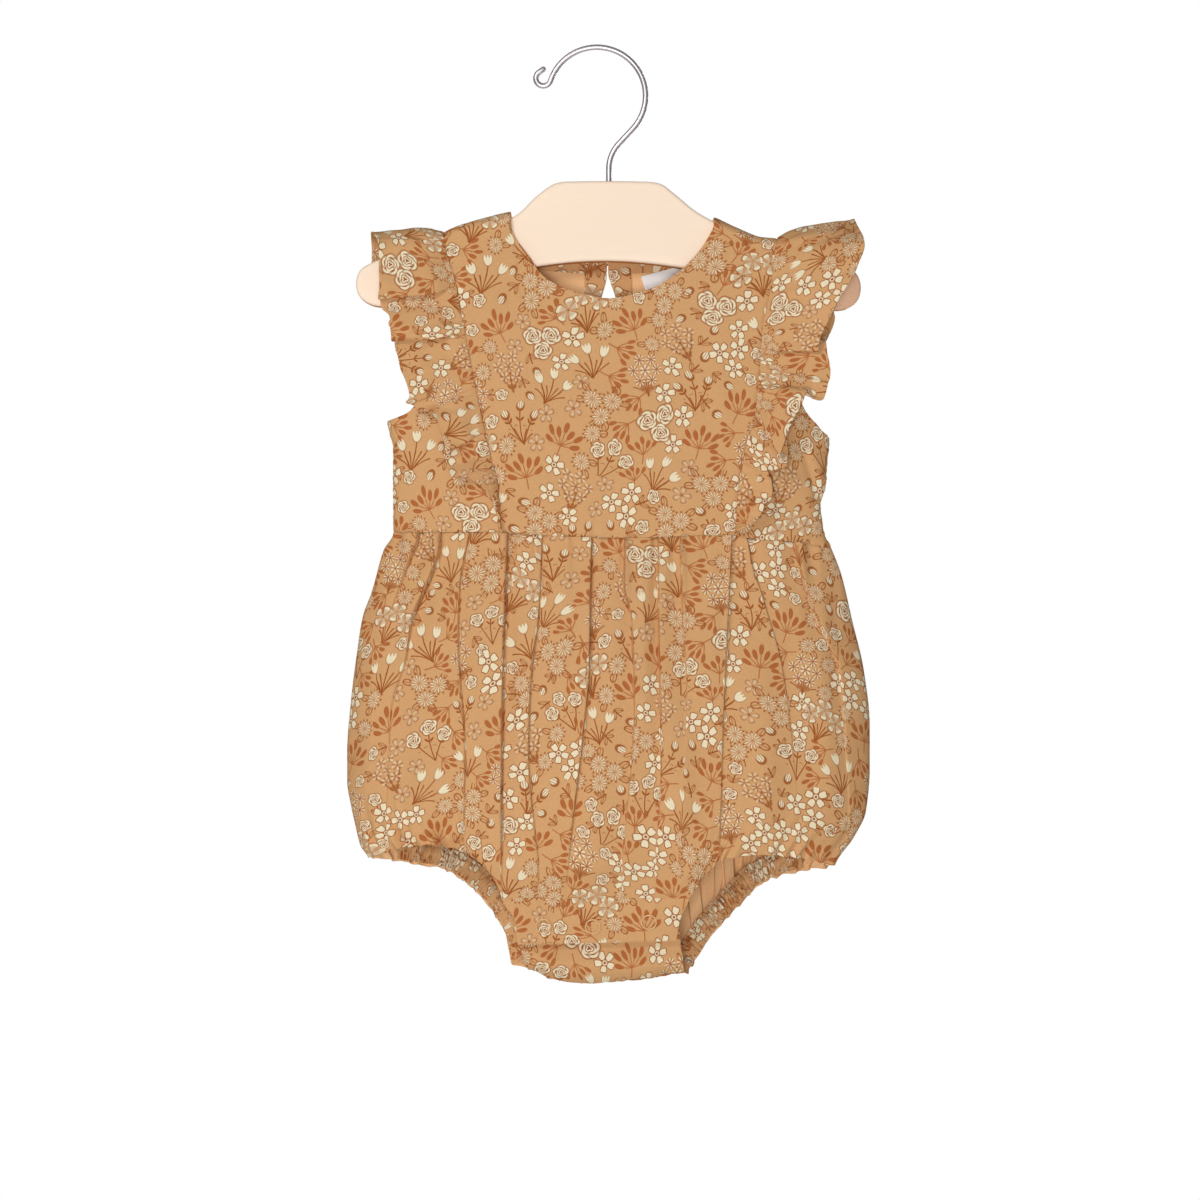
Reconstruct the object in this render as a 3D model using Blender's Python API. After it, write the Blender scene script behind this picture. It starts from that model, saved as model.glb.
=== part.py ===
"""Baby romper with flutter ruffles, hung flat on a wooden hanger with a wire hook.

The origin is the point inside the hook's arc where it bears on what holds it.  The front faces -Y
and +Z is up; "left" is the side at -X, as the front is looked at.  Tables are in millimetres, with
"drop" for the distance below the origin.
"""
import math

import bpy
import numpy as np

MM = 0.001

# ---- driving sizes, mm -------------------------------------------------------------------------
CLOTH = 1.2            # one layer of woven cotton with its seam allowances
PLACKET = 2.0          # folded double band at the crotch
TRIM = 0.8             # facings and casings
RUFFLE_CLOTH = 1.0
LABEL_CLOTH = 0.5
SEAM_GAP = 0.4         # between pieces that are sewn edge to edge
LAYER_GAP = 0.35       # between one layer and the next
HEM_GAP = 0.3          # from an edge to the trim turned in behind it
SHOULDER_ROLL = 5.0    # depth over which the cloth turns over the hanger
CROTCH_ROLL = 12.0     # height over which the back turns up to the front
LENS_POWER = 0.55      # roundness of the folded side edge
SKIRT_ACROSS = 255.0   # width that the pleats' own widths are measured against
RUFFLE_ROLL = 3.0      # how far a ruffle stands up beside its seam

HANGER_THICK = 10.0
HANGER_TOP = 69.0
HANGER_EDGE_ROUND = 3.5
WIRE = 2.4
WIRE_BORE = 3.0
WIRE_IN_WOOD = 14.0
HOOK_RADIUS = 25.3     # to the wire's centre line
HOOK_SHANK_X = 6.2
HOOK_SHANK_TOP = 62.0
HOOK_BEND_RADIUS = 19.6
HOOK_TURN = 45.0       # degrees from the shank to the arc
HOOK_END_ANGLE = 158.0
HOOK_CURL_RADIUS = 3.9
HOOK_CURL_TURN = 235.0
HOOK_CURL_RUN = 2.0

CASING_WIDTH = 10.5
CASING_SLACK = 1.8     # how far a casing's inner edge hangs off the pleated cloth
FACING_WIDTH = 13.0
FACING_SLACK = 0.1     # how far a neck facing's lower edge hangs off the yoke
KEYHOLE_X = 5.7
KEYHOLE_FACING_HALF = 13.0
KEYHOLE_FACING_TOP, KEYHOLE_FACING_FOOT = 103.0, 164.0
LABEL_CORNER, LABEL_TOP_EDGE, LABEL_SIDE_EDGE = (23, 117), (26, -7), (3, 9.5)   # x, drop
SNAP_OUTER, SNAP_INNER, SNAP_HIGH = 8.3, 6.7, 0.7
STUD_ACROSS, STUD_HIGH = 7.0, 1.8
SNAP_PLACES = ((-27.6, 453.9), (-2.1, 454.2), (26.8, 451.9))                    # x, drop
FLAP_TOP = 442.0
FLAP_TURN, FLAP_TURN_END = 464.5, 475.5   # drops where the flap leaves the band for the fold
BUTTON_ACROSS, BUTTON_HIGH = 9.0, 2.2
BUTTON_X, BUTTON_DROP = 13.0, 108.0
LOOP_CORD = 1.4

# Side silhouettes of the body: drop, x
LEFT_SIDE = ((69, -109), (193, -109), (202, -107), (206, -106), (251, -106), (260, -111),
             (281, -117), (295, -122), (314, -125), (338, -128), (365, -130), (380, -130),
             (393, -128), (402, -126), (414, -123), (420, -119), (432, -117), (490, -116))
RIGHT_SIDE = ((69, 121), (202, 121), (213, 120), (240, 117), (250, 118), (259, 122), (272, 127),
              (297, 133), (323, 139), (351, 142), (374, 142), (396, 140), (409, 134), (424, 124),
              (435, 122), (490, 121))

# Fullness: drop, front depth, back depth, boxiness of the section
FULLNESS = ((69, 7.4, 7.4, 14), (97, 7.4, 7.6, 14), (110, 8.8, 9.6, 12), (130, 11, 10.6, 9),
            (161, 13, 12, 6), (195, 15, 15, 3.4), (224, 15, 15, 2.8), (255, 14.5, 15, 2.6),
            (286, 20, 22, 2.4), (338, 28, 31, 2.2), (380, 30, 34, 2.2), (416, 26, 30, 2.3),
            (442, 18, 21, 2.6), (463, 13, 15, 3), (490, 9, 10, 3))

# Shoulder line, rising out of the way inside the neck: x, drop
SHOULDER = ((-150, 121), (-86, 97), (-80, 95), (-74, 92), (-54, 86), (-45, 84), (-38, 68),
            (8, 40), (54, 70), (61, 87), (72, 92), (85, 97), (94, 98), (100, 99), (160, 118))

# Fold at the bottom of the crotch: x, drop
CROTCH_FOLD = ((-130, 525), (-45, 496), (-35, 478), (-24, 483), (-3, 485.5), (22, 483),
               (46, 480), (56, 500), (130, 525))

WAIST = ((-106, 251), (-52, 251), (-32, 252.5), (16, 254), (69, 252.5), (81, 254.5),
         (103, 256), (122, 259))                                              # x, drop

# Seams that hold the ruffles: drop, x
LEFT_SEAM = ((95, -80), (106, -78), (119, -74), (134, -71), (155, -67), (180, -62), (208, -56),
             (229, -51), (245, -50), (251, -49))
RIGHT_SEAM = ((98, 94), (109, 92), (130, 89), (143, 86), (167, 84), (194, 81), (206, 77),
              (218, 75), (229, 73), (244, 72), (252.6, 71))

# Armhole from the shoulder to the side seam, and on down it: share, x, drop
LEFT_ARMHOLE = ((0, -86, 97), (.22, -86, 130), (.39, -86, 156), (.49, -88, 172), (.56, -92, 182),
                (.60, -98, 189), (.63, -109, 193))
RIGHT_ARMHOLE = ((0, 100, 99), (.2, 100, 130), (.37, 100, 156), (.48, 102, 174), (.57, 108, 188),
                 (.62, 114, 195), (.67, 121, 202))

# Necklines with the shoulder seams at both ends: share, x, drop
FRONT_NECK = ((0, -80, 95), (.06, -74, 92), (.14, -54, 86), (.18, -45, 84), (.205, -46, 87),
              (.25, -43, 97), (.3, -36, 107), (.37, -27, 119), (.44, -10, 127), (.5, 6, 130),
              (.57, 25, 126), (.64, 37, 120), (.69, 46, 113), (.74, 56, 101), (.79, 61, 90),
              (.81, 61, 87), (.86, 72, 92), (.94, 85, 97), (1, 94, 98))
BACK_NECK = ((0, -80, 95), (.06, -74, 92), (.14, -54, 86), (.18, -45, 84), (.21, -45, 89),
             (.26, -35, 98), (.36, -19, 101), (.5, 5.7, 102), (.64, 33, 101), (.72, 50, 98),
             (.78, 60, 92), (.81, 61, 87), (.86, 72, 92), (.94, 85, 97), (1, 94, 98))

KEYHOLE = ((101, .7), (115, .7), (129, 3.5), (141, 5.2), (150, 4.2), (156, .4))  # drop, half width
KEYHOLE_END = 156.0

# Leg edges from the side seam to the crotch: share, x, drop
LEG_FRONT_LEFT = ((0, -119, 420), (.22, -97, 413), (.35, -85, 412), (.47, -73, 414),
                  (.57, -65, 417), (.69, -57, 424), (.82, -52, 432), (1, -49, 439.5))
LEG_FRONT_RIGHT = ((0, 124, 424), (.2, 98, 418), (.33, 85, 417), (.47, 72, 418), (.58, 62, 421),
                   (.66, 58, 425), (.83, 51, 434), (1, 48, 439.5))
LEG_BACK_LEFT = ((0, -119, 420), (.2, -97, 424), (.33, -82, 427), (.47, -70, 434), (.62, -59, 444),
                 (.74, -52, 454), (.87, -46, 465), (1, -45, 476))
LEG_BACK_RIGHT = ((0, 124, 424), (.25, 95, 431), (.37, 85, 436), (.5, 76, 445), (.64, 67, 454),
                  (.77, 59, 463), (.88, 54, 471), (1, 48, 479))
PLACKET_LEFT = ((0, -49, 439.5), (.2, -47, 444), (.5, -42, 452), (1, -41, 464))
PLACKET_RIGHT = ((0, 48, 439.5), (.5, 43, 451), (1, 41, 462))
FLAP_LEFT = ((0, -38, 442), (.6, -37, 464), (1, -35, 478))
FLAP_RIGHT = ((0, 41, 442), (.5, 43, 460), (1, 45.5, 480))

# Pleats: x at the waist, share across at the middle and at the bottom, depth at the waist, at the
# middle and at the bottom, width.  A positive depth stands proud on the left of its crease.
FRONT_PLEATS = ((-93, .10, .12, 2.2, 1.2, .4, 9), (-80, .16, .17, 2.4, 2.0, .8, 10),
                (-66, .24, .25, 1.6, 1.2, .8, 10), (-46, .31, .32, 3.2, 3.4, 2.6, 11),
                (-28, .38, .39, 1.6, 1.4, .8, 9), (-3, .47, .44, 3.2, 3.0, 1.6, 11),
                (15, .54, .53, -2.4, -2.2, -1.4, 10), (31, .60, .60, -2.4, -1.6, -.8, 10),
                (43, .66, .66, -2.8, -2.4, -1.2, 10), (68, .74, .72, 2.6, 1.8, 1.0, 11),
                (79, .82, .84, 2.4, 1.2, .6, 9), (103, .92, .93, -2.2, -1.4, -.6, 10))
BACK_PLEATS = ((-90, .09, .10, -2.2, -1.4, -.6, 10), (-72, .18, .18, 2.4, 2.0, .8, 10),
               (-52, .27, .27, -2.6, -2.2, -1.2, 10), (-30, .36, .35, 3.0, 2.8, 1.8, 11),
               (-8, .45, .43, -2.0, -1.8, -1.0, 9), (14, .54, .54, 3.0, 2.8, 1.6, 11),
               (36, .63, .64, -2.6, -2.4, -1.2, 10), (58, .72, .73, 2.4, 2.0, 1.0, 10),
               (80, .81, .82, -2.4, -1.6, -.8, 10), (102, .91, .91, 2.2, 1.2, .6, 9))

# Free edges of the ruffles, from the front waist over the shoulder to the back: share, x, drop, y
LEFT_RUFFLE = ((0, -50, 249, -17.5), (.03, -53, 241, -19), (.068, -57, 231, -18),
               (.09, -62, 225, -20), (.126, -73, 222, -21), (.139, -78, 216, -20),
               (.152, -77, 209, -17), (.171, -79, 200, -19), (.2, -83, 190, -22),
               (.216, -89, 189, -20), (.235, -98, 187, -16), (.248, -97, 180, -20),
               (.268, -98, 174, -22), (.303, -102, 162, -22), (.335, -106, 152, -21),
               (.345, -101, 147, -15), (.365, -107, 141, -20), (.387, -110, 135, -22),
               (.406, -111, 129, -21), (.416, -106, 125, -15), (.435, -111, 119, -18),
               (.461, -112, 110, -17), (.487, -115, 98, -10), (.5, -117.5, 95, 0),
               (.513, -118, 98, 10), (.54, -118, 110, 16), (.56, -115, 121, 20),
               (.585, -109, 130, 15), (.61, -109, 139, 20), (.64, -106, 150, 23),
               (.67, -100, 158, 16), (.7, -100, 168, 21), (.74, -96, 181, 22),
               (.77, -88, 188, 16), (.8, -86, 196, 21), (.84, -78, 209, 22),
               (.87, -70, 216, 17), (.91, -63, 227, 21), (.95, -55, 238, 19), (1, -50, 249, 17.5))
RIGHT_RUFFLE = ((0, 72, 250, -17.5), (.02, 75, 247, -19), (.039, 82, 243, -20),
                (.068, 89, 233, -21), (.091, 89, 224, -20), (.114, 87, 214, -17),
                (.13, 94, 216, -21), (.149, 98, 212, -20), (.166, 94, 208, -17),
                (.195, 98, 197, -21), (.24, 109, 177, -24), (.257, 112, 182, -18),
                (.273, 118, 179, -14), (.292, 119, 167, -16), (.308, 114, 161, -15),
                (.325, 104, 159, -20), (.34, 114, 156, -26), (.36, 120, 143, -28),
                (.393, 127, 130, -28), (.425, 134, 118, -26), (.458, 138, 105, -21),
                (.484, 135, 95, -12), (.5, 133.5, 89, 0), (.513, 134, 93, 10), (.54, 133, 106, 17),
                (.565, 129, 118, 21), (.59, 122, 128, 15), (.61, 125, 137, 20),
                (.64, 121, 149, 23), (.67, 112, 157, 16), (.7, 113, 168, 21), (.74, 108, 181, 23),
                (.77, 99, 189, 17), (.8, 99, 199, 21), (.84, 92, 212, 22), (.87, 85, 218, 17),
                (.91, 83, 230, 21), (.95, 77, 241, 19), (1, 72, 250, 17.5))

# Hanger outline, clockwise from the neck's top left: x, drop
HANGER = ((-22, 70), (-18, 69), (28, 69), (33, 70), (40, 75), (51, 84), (61, 89.8), (72, 95.2),
          (85, 99), (94, 100.4), (106, 104), (118, 108), (129, 112.5), (135, 117), (137, 124),
          (135, 131), (129, 135), (118, 135), (96, 129), (70, 120), (45, 114), (30, 111.8),
          (6, 110.2), (-14, 111), (-32, 113.4), (-60, 120), (-90, 129), (-110, 134), (-118, 132.5),
          (-123.5, 128), (-125, 121), (-123, 115), (-117, 111), (-108, 107.5), (-97, 103),
          (-86, 99.2), (-80, 97), (-74, 94.2), (-54, 88.8), (-44.6, 87.6), (-30, 75.4))


# ---- curves and surfaces -----------------------------------------------------------------------
def smooth(table, column, at):
    """Cubic through one column of a table that never overshoots its rows."""
    rows = np.asarray(table, float)
    knots, values = rows[:, 0], rows[:, column]
    step = np.diff(knots)
    rise = np.diff(values) / step
    slope = np.zeros(len(values))
    same = rise[1:] * rise[:-1] > 0
    slope[1:-1][same] = 2 * rise[1:][same] * rise[:-1][same] / (rise[1:] + rise[:-1])[same]
    slope[0], slope[-1] = rise[0], rise[-1]
    at = np.clip(at, knots[0], knots[-1])
    i = np.clip(np.searchsorted(knots, at) - 1, 0, len(step) - 1)
    f = (at - knots[i]) / step[i]
    return (values[i] * (1 + 2 * f) * (1 - f) ** 2 + slope[i] * step[i] * f * (1 - f) ** 2
            + values[i + 1] * f * f * (3 - 2 * f) - slope[i + 1] * step[i] * f * f * (1 - f))


def along(table, share):
    """Points (x, drop) at shares of the way along an outline."""
    return np.stack((smooth(table, 1, share), smooth(table, 2, share)), -1)


def depth(x, drop, side):
    """Distance of a layer from the middle plane: a flat lens, boxier over the hanger, that closes
    in a quarter round along the shoulder and at the bottom of the crotch."""
    left, right = smooth(LEFT_SIDE, 1, drop), smooth(RIGHT_SIDE, 1, drop)
    across = np.clip(np.abs(2 * x - left - right) / (right - left), 0, 1)
    lens = (1 - across ** smooth(FULLNESS, 3, drop)) ** LENS_POWER
    below = np.clip((drop - smooth(SHOULDER, 1, x)) / SHOULDER_ROLL, 0, 1)
    above = np.clip((smooth(CROTCH_FOLD, 1, x) - drop) / CROTCH_ROLL, 0, 1)
    full = smooth(FULLNESS, 1 if side < 0 else 2, drop)
    return full * lens * np.sqrt(1 - (1 - below) ** 2) * np.sqrt(1 - (1 - above) ** 2)


def body(grid, side):
    """Points of the body's surface and its outward normals; side is -1 in front, 1 behind."""
    x, drop = grid[..., 0], grid[..., 1]
    near = 0.002
    slope_x = (depth(x + near, drop, side) - depth(x - near, drop, side)) / (2 * near)
    slope_down = (depth(x, drop + near, side) - depth(x, drop - near, side)) / (2 * near)
    normal = np.stack((-slope_x, np.full_like(x, side), slope_down), -1)
    normal /= np.linalg.norm(normal, axis=-1, keepdims=True)
    return np.stack((x, side * depth(x, drop, side), -drop), -1), normal


def apart(points, side):
    """Keeps a layer on its own side of the middle plane."""
    points[..., 1] = side * np.maximum(side * points[..., 1], SEAM_GAP / 2)
    return points


def patch(top, bottom, left, right, across, down):
    """Coons patch: opposite edges blended both ways, less the corners that are counted twice.
    The edges are functions of a share; left and right run downwards."""
    u, v = across[..., None], down[..., None]
    one, zero = np.ones_like(across), np.zeros_like(across)
    corners = ((1 - v) * ((1 - u) * top(zero) + u * top(one))
               + v * ((1 - u) * bottom(zero) + u * bottom(one)))
    return ((1 - v) * top(across) + v * bottom(across)
            + (1 - u) * left(down) + u * right(down) - corners)


def shares(*stops):
    """Shares at even steps between the stops given as (start, end, steps)."""
    runs = [np.linspace(start, end, steps, endpoint=False) for start, end, steps in stops]
    return np.concatenate(runs + [[stops[-1][1]]])


def draw_in(grid, edges):
    """Moves named edges of a panel in by half a seam gap, towards the next row or column."""
    moved = grid.copy()
    rims = {"top": (np.s_[0], np.s_[1]), "bottom": (np.s_[-1], np.s_[-2]),
            "left": (np.s_[:, 0], np.s_[:, 1]), "right": (np.s_[:, -1], np.s_[:, -2])}
    for edge in edges:
        rim, beside = rims[edge]
        way = grid[beside] - grid[rim]
        moved[rim] += way / np.linalg.norm(way, axis=-1, keepdims=True) * SEAM_GAP / 2
    return moved


# ---- meshes ------------------------------------------------------------------------------------
FINISHES = {}


def finish(name, colour, roughness, metallic=0.0):
    """A plain Principled BSDF finish; the colour is an sRGB hex value."""
    if name not in FINISHES:
        channels = [int(colour[i:i + 2], 16) / 255 for i in (1, 3, 5)]
        linear = [c / 12.92 if c <= 0.04045 else ((c + 0.055) / 1.055) ** 2.4 for c in channels]
        material = bpy.data.materials.new(name)
        material.use_nodes = True
        shader = material.node_tree.nodes["Principled BSDF"]
        shader.inputs["Base Color"].default_value = (*linear, 1)
        shader.inputs["Roughness"].default_value = roughness
        shader.inputs["Metallic"].default_value = metallic
        FINISHES[name] = material
    return FINISHES[name]


def cotton():
    return finish("printed_cotton", "#D5A36E", 0.85)


def place(name, vertices, faces, material):
    """Makes a mesh object from points in millimetres, with its faces turned outwards."""
    mesh = bpy.data.meshes.new(name)
    mesh.from_pydata((np.asarray(vertices) * MM).tolist(), [], faces)
    mesh.materials.append(material)
    thing = bpy.data.objects.new(name, mesh)
    bpy.context.collection.objects.link(thing)
    mesh.validate()
    volume = 0.0
    for face in mesh.polygons:
        points = [mesh.vertices[i].co for i in face.vertices]
        for second, third in zip(points[1:], points[2:]):
            volume += points[0].dot(second.cross(third))
    if volume < 0:
        mesh.flip_normals()
    mesh.shade_smooth()
    mesh.set_sharp_from_angle(angle=math.radians(40))
    return thing


def wall(name, outer, inner, material, keep=None):
    """Closed wall between two grids of points, over the cells that are kept."""
    rows, columns = outer.shape[:2]
    count = rows * columns
    keep = np.ones((rows - 1, columns - 1), bool) if keep is None else keep
    index = np.arange(count).reshape(rows, columns)
    quads = np.stack((index[:-1, :-1][keep], index[:-1, 1:][keep],
                      index[1:, 1:][keep], index[1:, :-1][keep]), 1)
    edges = np.concatenate([quads[:, [i, (i + 1) % 4]] for i in range(4)])
    alone = ~np.isin(edges[:, 0] * count + edges[:, 1], edges[:, 1] * count + edges[:, 0])
    start, end = edges[alone].T
    rim = np.stack((end, start, start + count, end + count), 1)
    faces = np.concatenate((quads, quads[:, ::-1] + count, rim))
    used, faces = np.unique(faces, return_inverse=True)
    points = np.concatenate((outer.reshape(-1, 3), inner.reshape(-1, 3)))[used]
    return place(name, points, faces.reshape(-1, 4).tolist(), material)


def panel(name, grid, side, thick=CLOTH, out=0.0, keep=None, material=None):
    """Wall on the body's surface, moved out along its normals."""
    surface, normal = body(grid, side)
    out = np.broadcast_to(out, grid.shape[:2])[..., None]
    outer = apart(surface + normal * out, side)
    inner = apart(surface + normal * (out - thick), side)
    return wall(name, outer, inner, material or cotton(), keep)


def turned(name, profile, centre, axis, material, sides=20, solid=False):
    """Ring turned round an axis, from a closed loop of (radius, height).  A solid disc's profile
    runs from its bottom to its top, off the axis, and is capped at both ends."""
    axis = np.asarray(axis) / np.linalg.norm(axis)
    first = np.cross(axis, (0, 0, 1.0))
    first /= np.linalg.norm(first)
    second = np.cross(axis, first)
    radius, height = np.asarray(profile, float).T
    angle = np.arange(sides) * math.tau / sides
    spoke = np.cos(angle)[:, None] * first + np.sin(angle)[:, None] * second
    points = centre + spoke[:, None] * radius[None, :, None] + axis * height[None, :, None]
    index = np.arange(sides * len(radius)).reshape(sides, -1)
    onward = np.roll(index, -1, 1)
    quads = np.stack((index, onward, np.roll(onward, -1, 0), np.roll(index, -1, 0)), -1)
    caps = []
    if solid:
        quads = quads[:, :-1]
        caps = [index[:, 0].tolist(), index[::-1, -1].tolist()]
    return place(name, points.reshape(-1, 3), quads.reshape(-1, 4).tolist() + caps, material)


def cord(name, points, across, material, resolution=2):
    """Round wire or cord along a list of points, with flat ends."""
    curve = bpy.data.curves.new(name, "CURVE")
    curve.dimensions = "3D"
    curve.bevel_depth = across / 2 * MM
    curve.bevel_resolution = resolution
    curve.use_fill_caps = True
    line = curve.splines.new("POLY")
    line.points.add(len(points) - 1)
    for knot, point in zip(line.points, points):
        knot.co = (*(np.asarray(point) * MM), 1)
    curve.materials.append(material)
    thing = bpy.data.objects.new(name, curve)
    bpy.context.collection.objects.link(thing)
    return thing


# ---- bodice ------------------------------------------------------------------------------------
BODICE_ROWS = np.array((0, .004, .014, .034, .1, .22, .36, .49, .58, .64, .71, .85, 1))
YOKE_LEFT = ((0, .18, 3), (.18, .26, 2))     # columns are closer beside the neckline
YOKE_RIGHT = ((.74, .81, 2), (.81, 1, 3))
SLIT_HALF = .003                             # of the yoke's width, beside the keyhole


def waist_between(start, end):
    """Stretch of the waist seam between two places across, as a function of a share."""
    def edge(share):
        x = start + (end - start) * share
        return np.stack((x, smooth(WAIST, 1, x)), -1)
    return edge


def between(start, end):
    """Straight edge from one point (x, drop) to another, as a function of a share."""
    start, end = np.asarray(start, float), np.asarray(end, float)
    return lambda share: start + (end - start) * share[..., None]


def down_seam(seam):
    """Ruffle seam from the shoulder to the waist, as a function of a share."""
    top, bottom = seam[0][0], seam[-1][0]

    def edge(share):
        drop = top + (bottom - top) * share
        return np.stack((smooth(seam, 1, drop), drop), -1)
    return edge


def down_armhole(armhole, silhouette, waist_drop):
    """Armhole and then the side seam, as a function of a share."""
    corner, corner_drop = armhole[-1][0], armhole[-1][2]

    def edge(share):
        drop = corner_drop + (waist_drop - corner_drop) * (share - corner) / (1 - corner)
        seam = np.stack((smooth(silhouette, 1, drop), drop), -1)
        return np.where((share > corner)[..., None], seam, along(armhole, share))
    return edge


def yoke_grid(neck, columns, rows):
    """Panel between the ruffle seams, from the neckline to the waist."""
    across, down = np.meshgrid(columns, rows)
    waist = waist_between(LEFT_SEAM[-1][1], RIGHT_SEAM[-1][1])
    grid = patch(lambda share: along(neck, share), waist, down_seam(LEFT_SEAM),
                 down_seam(RIGHT_SEAM), across, down)
    return grid, across


def make_bodice():
    """Yokes between the ruffle seams, and side panels from the armholes to those seams."""
    grid, _ = yoke_grid(FRONT_NECK, shares(*YOKE_LEFT, (.26, .74, 6), *YOKE_RIGHT), BODICE_ROWS)
    panel("front_yoke", draw_in(grid, ("bottom", "left", "right")), -1)
    make_back_yoke()

    left_x, right_x = LEFT_SEAM[-1][1], RIGHT_SEAM[-1][1]
    waist_left, waist_right = WAIST[0], WAIST[-1]
    corners = (("left", LEFT_ARMHOLE, LEFT_SIDE, LEFT_SEAM, waist_left, left_x),
               ("right", RIGHT_ARMHOLE, RIGHT_SIDE, RIGHT_SEAM, waist_right, right_x))
    for word, armhole, silhouette, seam, waist_end, seam_x in corners:
        outside = down_armhole(armhole, silhouette, waist_end[1])
        inside = down_seam(seam)
        columns = shares((0, .06, 1), (.06, .3, 2), (.3, 1, 2))
        across, down = np.meshgrid(columns, BODICE_ROWS)
        shoulder = between(armhole[0][1:], (seam[0][1], seam[0][0]))
        grid = patch(shoulder,
                     waist_between(waist_end[0], seam_x), outside, inside, across, down)
        grid = draw_in(grid, ("bottom", "right"))
        for side, face in ((-1, "front"), (1, "back")):
            panel(f"{face}_side_{word}", grid, side)


def opened(grid, across):
    """Moves a grid's columns off the keyhole, half its width each way beside it."""
    moved = grid.copy()
    half = smooth(KEYHOLE, 1, grid[..., 1])
    moved[..., 0] += np.sign(across - .5) * half * (1 - np.abs(2 * across - 1)) ** 2
    return moved


def make_back_yoke():
    """Back yoke, slit from the neck down to the foot of the keyhole."""
    columns = np.concatenate((shares(*YOKE_LEFT, (.26, .5 - SLIT_HALF, 3)),
                              shares((.5 + SLIT_HALF, .74, 3), *YOKE_RIGHT)))
    neck_drop, waist_drop = BACK_NECK[len(BACK_NECK) // 2][2], WAIST[3][1]
    foot = (KEYHOLE_END - neck_drop) / (waist_drop - neck_drop)
    rows = np.concatenate((BODICE_ROWS[BODICE_ROWS < .1], (.11, .18, .25, .31, foot),
                           BODICE_ROWS[BODICE_ROWS > foot + .05]))
    grid, across = yoke_grid(BACK_NECK, columns, rows)
    keep = np.ones((len(rows) - 1, len(columns) - 1), bool)
    keep[rows[:-1] < foot, len(columns) // 2 - 1] = False
    panel("back_yoke", draw_in(opened(grid, across), ("bottom", "left", "right")), 1, keep=keep)


def make_neck_trims():
    """Bias facings inside the back neck and round the keyhole, and a bare woven label."""
    under = -(CLOTH + LAYER_GAP)
    for word, start, end in (("left", .245, .435), ("right", .755, .565)):
        share = np.linspace(start, end, 9)
        edge = along(BACK_NECK, share)
        way = np.gradient(edge, axis=0)
        inward = np.stack((-way[:, 1], way[:, 0]), -1) * np.sign(end - start)
        inward /= np.linalg.norm(inward, axis=-1, keepdims=True)
        steps = np.array((0, .5, 1))
        grid = np.stack([edge + inward * (2 * HEM_GAP + FACING_WIDTH * step) for step in steps])
        reach = KEYHOLE_FACING_HALF + SEAM_GAP
        grid[..., 0] = (np.minimum(grid[..., 0], KEYHOLE_X - reach) if start < end
                        else np.maximum(grid[..., 0], KEYHOLE_X + reach))
        panel(f"neck_facing_{word}", grid, 1, thick=TRIM,
              out=under - steps[:, None] * FACING_SLACK)

    stops = shares((0, 1, 3))
    drops = np.array((KEYHOLE_FACING_TOP, 109, 115, 122, 129, 135, 141, 146, 150, KEYHOLE_END, 160,
                      KEYHOLE_FACING_FOOT))
    half = smooth(KEYHOLE, 1, drops)[:, None] + HEM_GAP
    reach = half + (KEYHOLE_FACING_HALF - half) * stops
    x = np.concatenate((KEYHOLE_X - reach[:, ::-1], KEYHOLE_X + reach), 1)
    grid = np.stack((x, np.broadcast_to(drops[:, None], x.shape)), -1)
    keep = np.ones((len(drops) - 1, x.shape[1] - 1), bool)
    keep[drops[:-1] < KEYHOLE_END, len(stops) - 1] = False
    panel("keyhole_facing", grid, 1, thick=TRIM, out=under, keep=keep)

    across, down = np.meshgrid(np.linspace(0, 1, 4), np.linspace(0, 1, 3))
    corner, top, sideways = map(np.array, (LABEL_CORNER, LABEL_TOP_EDGE, LABEL_SIDE_EDGE))
    grid = corner + across[..., None] * top + down[..., None] * sideways
    under_facing = under - TRIM - LAYER_GAP
    panel("label", grid, 1, thick=LABEL_CLOTH, out=under_facing,
          material=finish("label_ribbon", "#F4F3F2", 0.7))


def make_closure():
    """Button and cord loop that close the keyhole behind the neck."""
    surface, normal = body(np.array(((BUTTON_X, BUTTON_DROP),)), 1)
    radius = BUTTON_ACROSS / 2
    profile = ((radius - .8, 0), (radius, .7), (radius, BUTTON_HIGH - .6),
               (radius - .7, BUTTON_HIGH), (radius - 1.8, BUTTON_HIGH - .6))
    turned("nape_button", profile, surface[0] + normal[0] * LAYER_GAP, normal[0],
           finish("button_resin", "#C98F5C", 0.4), solid=True)
    ring = radius + LOOP_CORD / 2 + LAYER_GAP
    angles = np.radians(np.linspace(140, -140, 13))
    round_button = [(BUTTON_X + ring * math.cos(a), BUTTON_DROP + ring * math.sin(a))
                    for a in angles]
    route = [(1.2, BUTTON_DROP + 1.4), (4.5, BUTTON_DROP + 2.2)] + round_button
    route += [(4.5, BUTTON_DROP - 2.2), (1.2, BUTTON_DROP - 1.4)]
    surface, normal = body(np.array(route), 1)
    cord("nape_loop", surface + normal * (LOOP_CORD / 2 + LAYER_GAP), LOOP_CORD, cotton())


# ---- skirt -------------------------------------------------------------------------------------
SKIRT_ROWS = shares((0, .08, 1), (.08, .83, 5), (.83, 1, 3))
HEM_SHARES = {-1: (.33, .67), 1: (.35, .66)}     # where the leg edges end along the bottom
LEG_EDGES = {-1: (LEG_FRONT_LEFT, LEG_FRONT_RIGHT), 1: (LEG_BACK_LEFT, LEG_BACK_RIGHT)}


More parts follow.
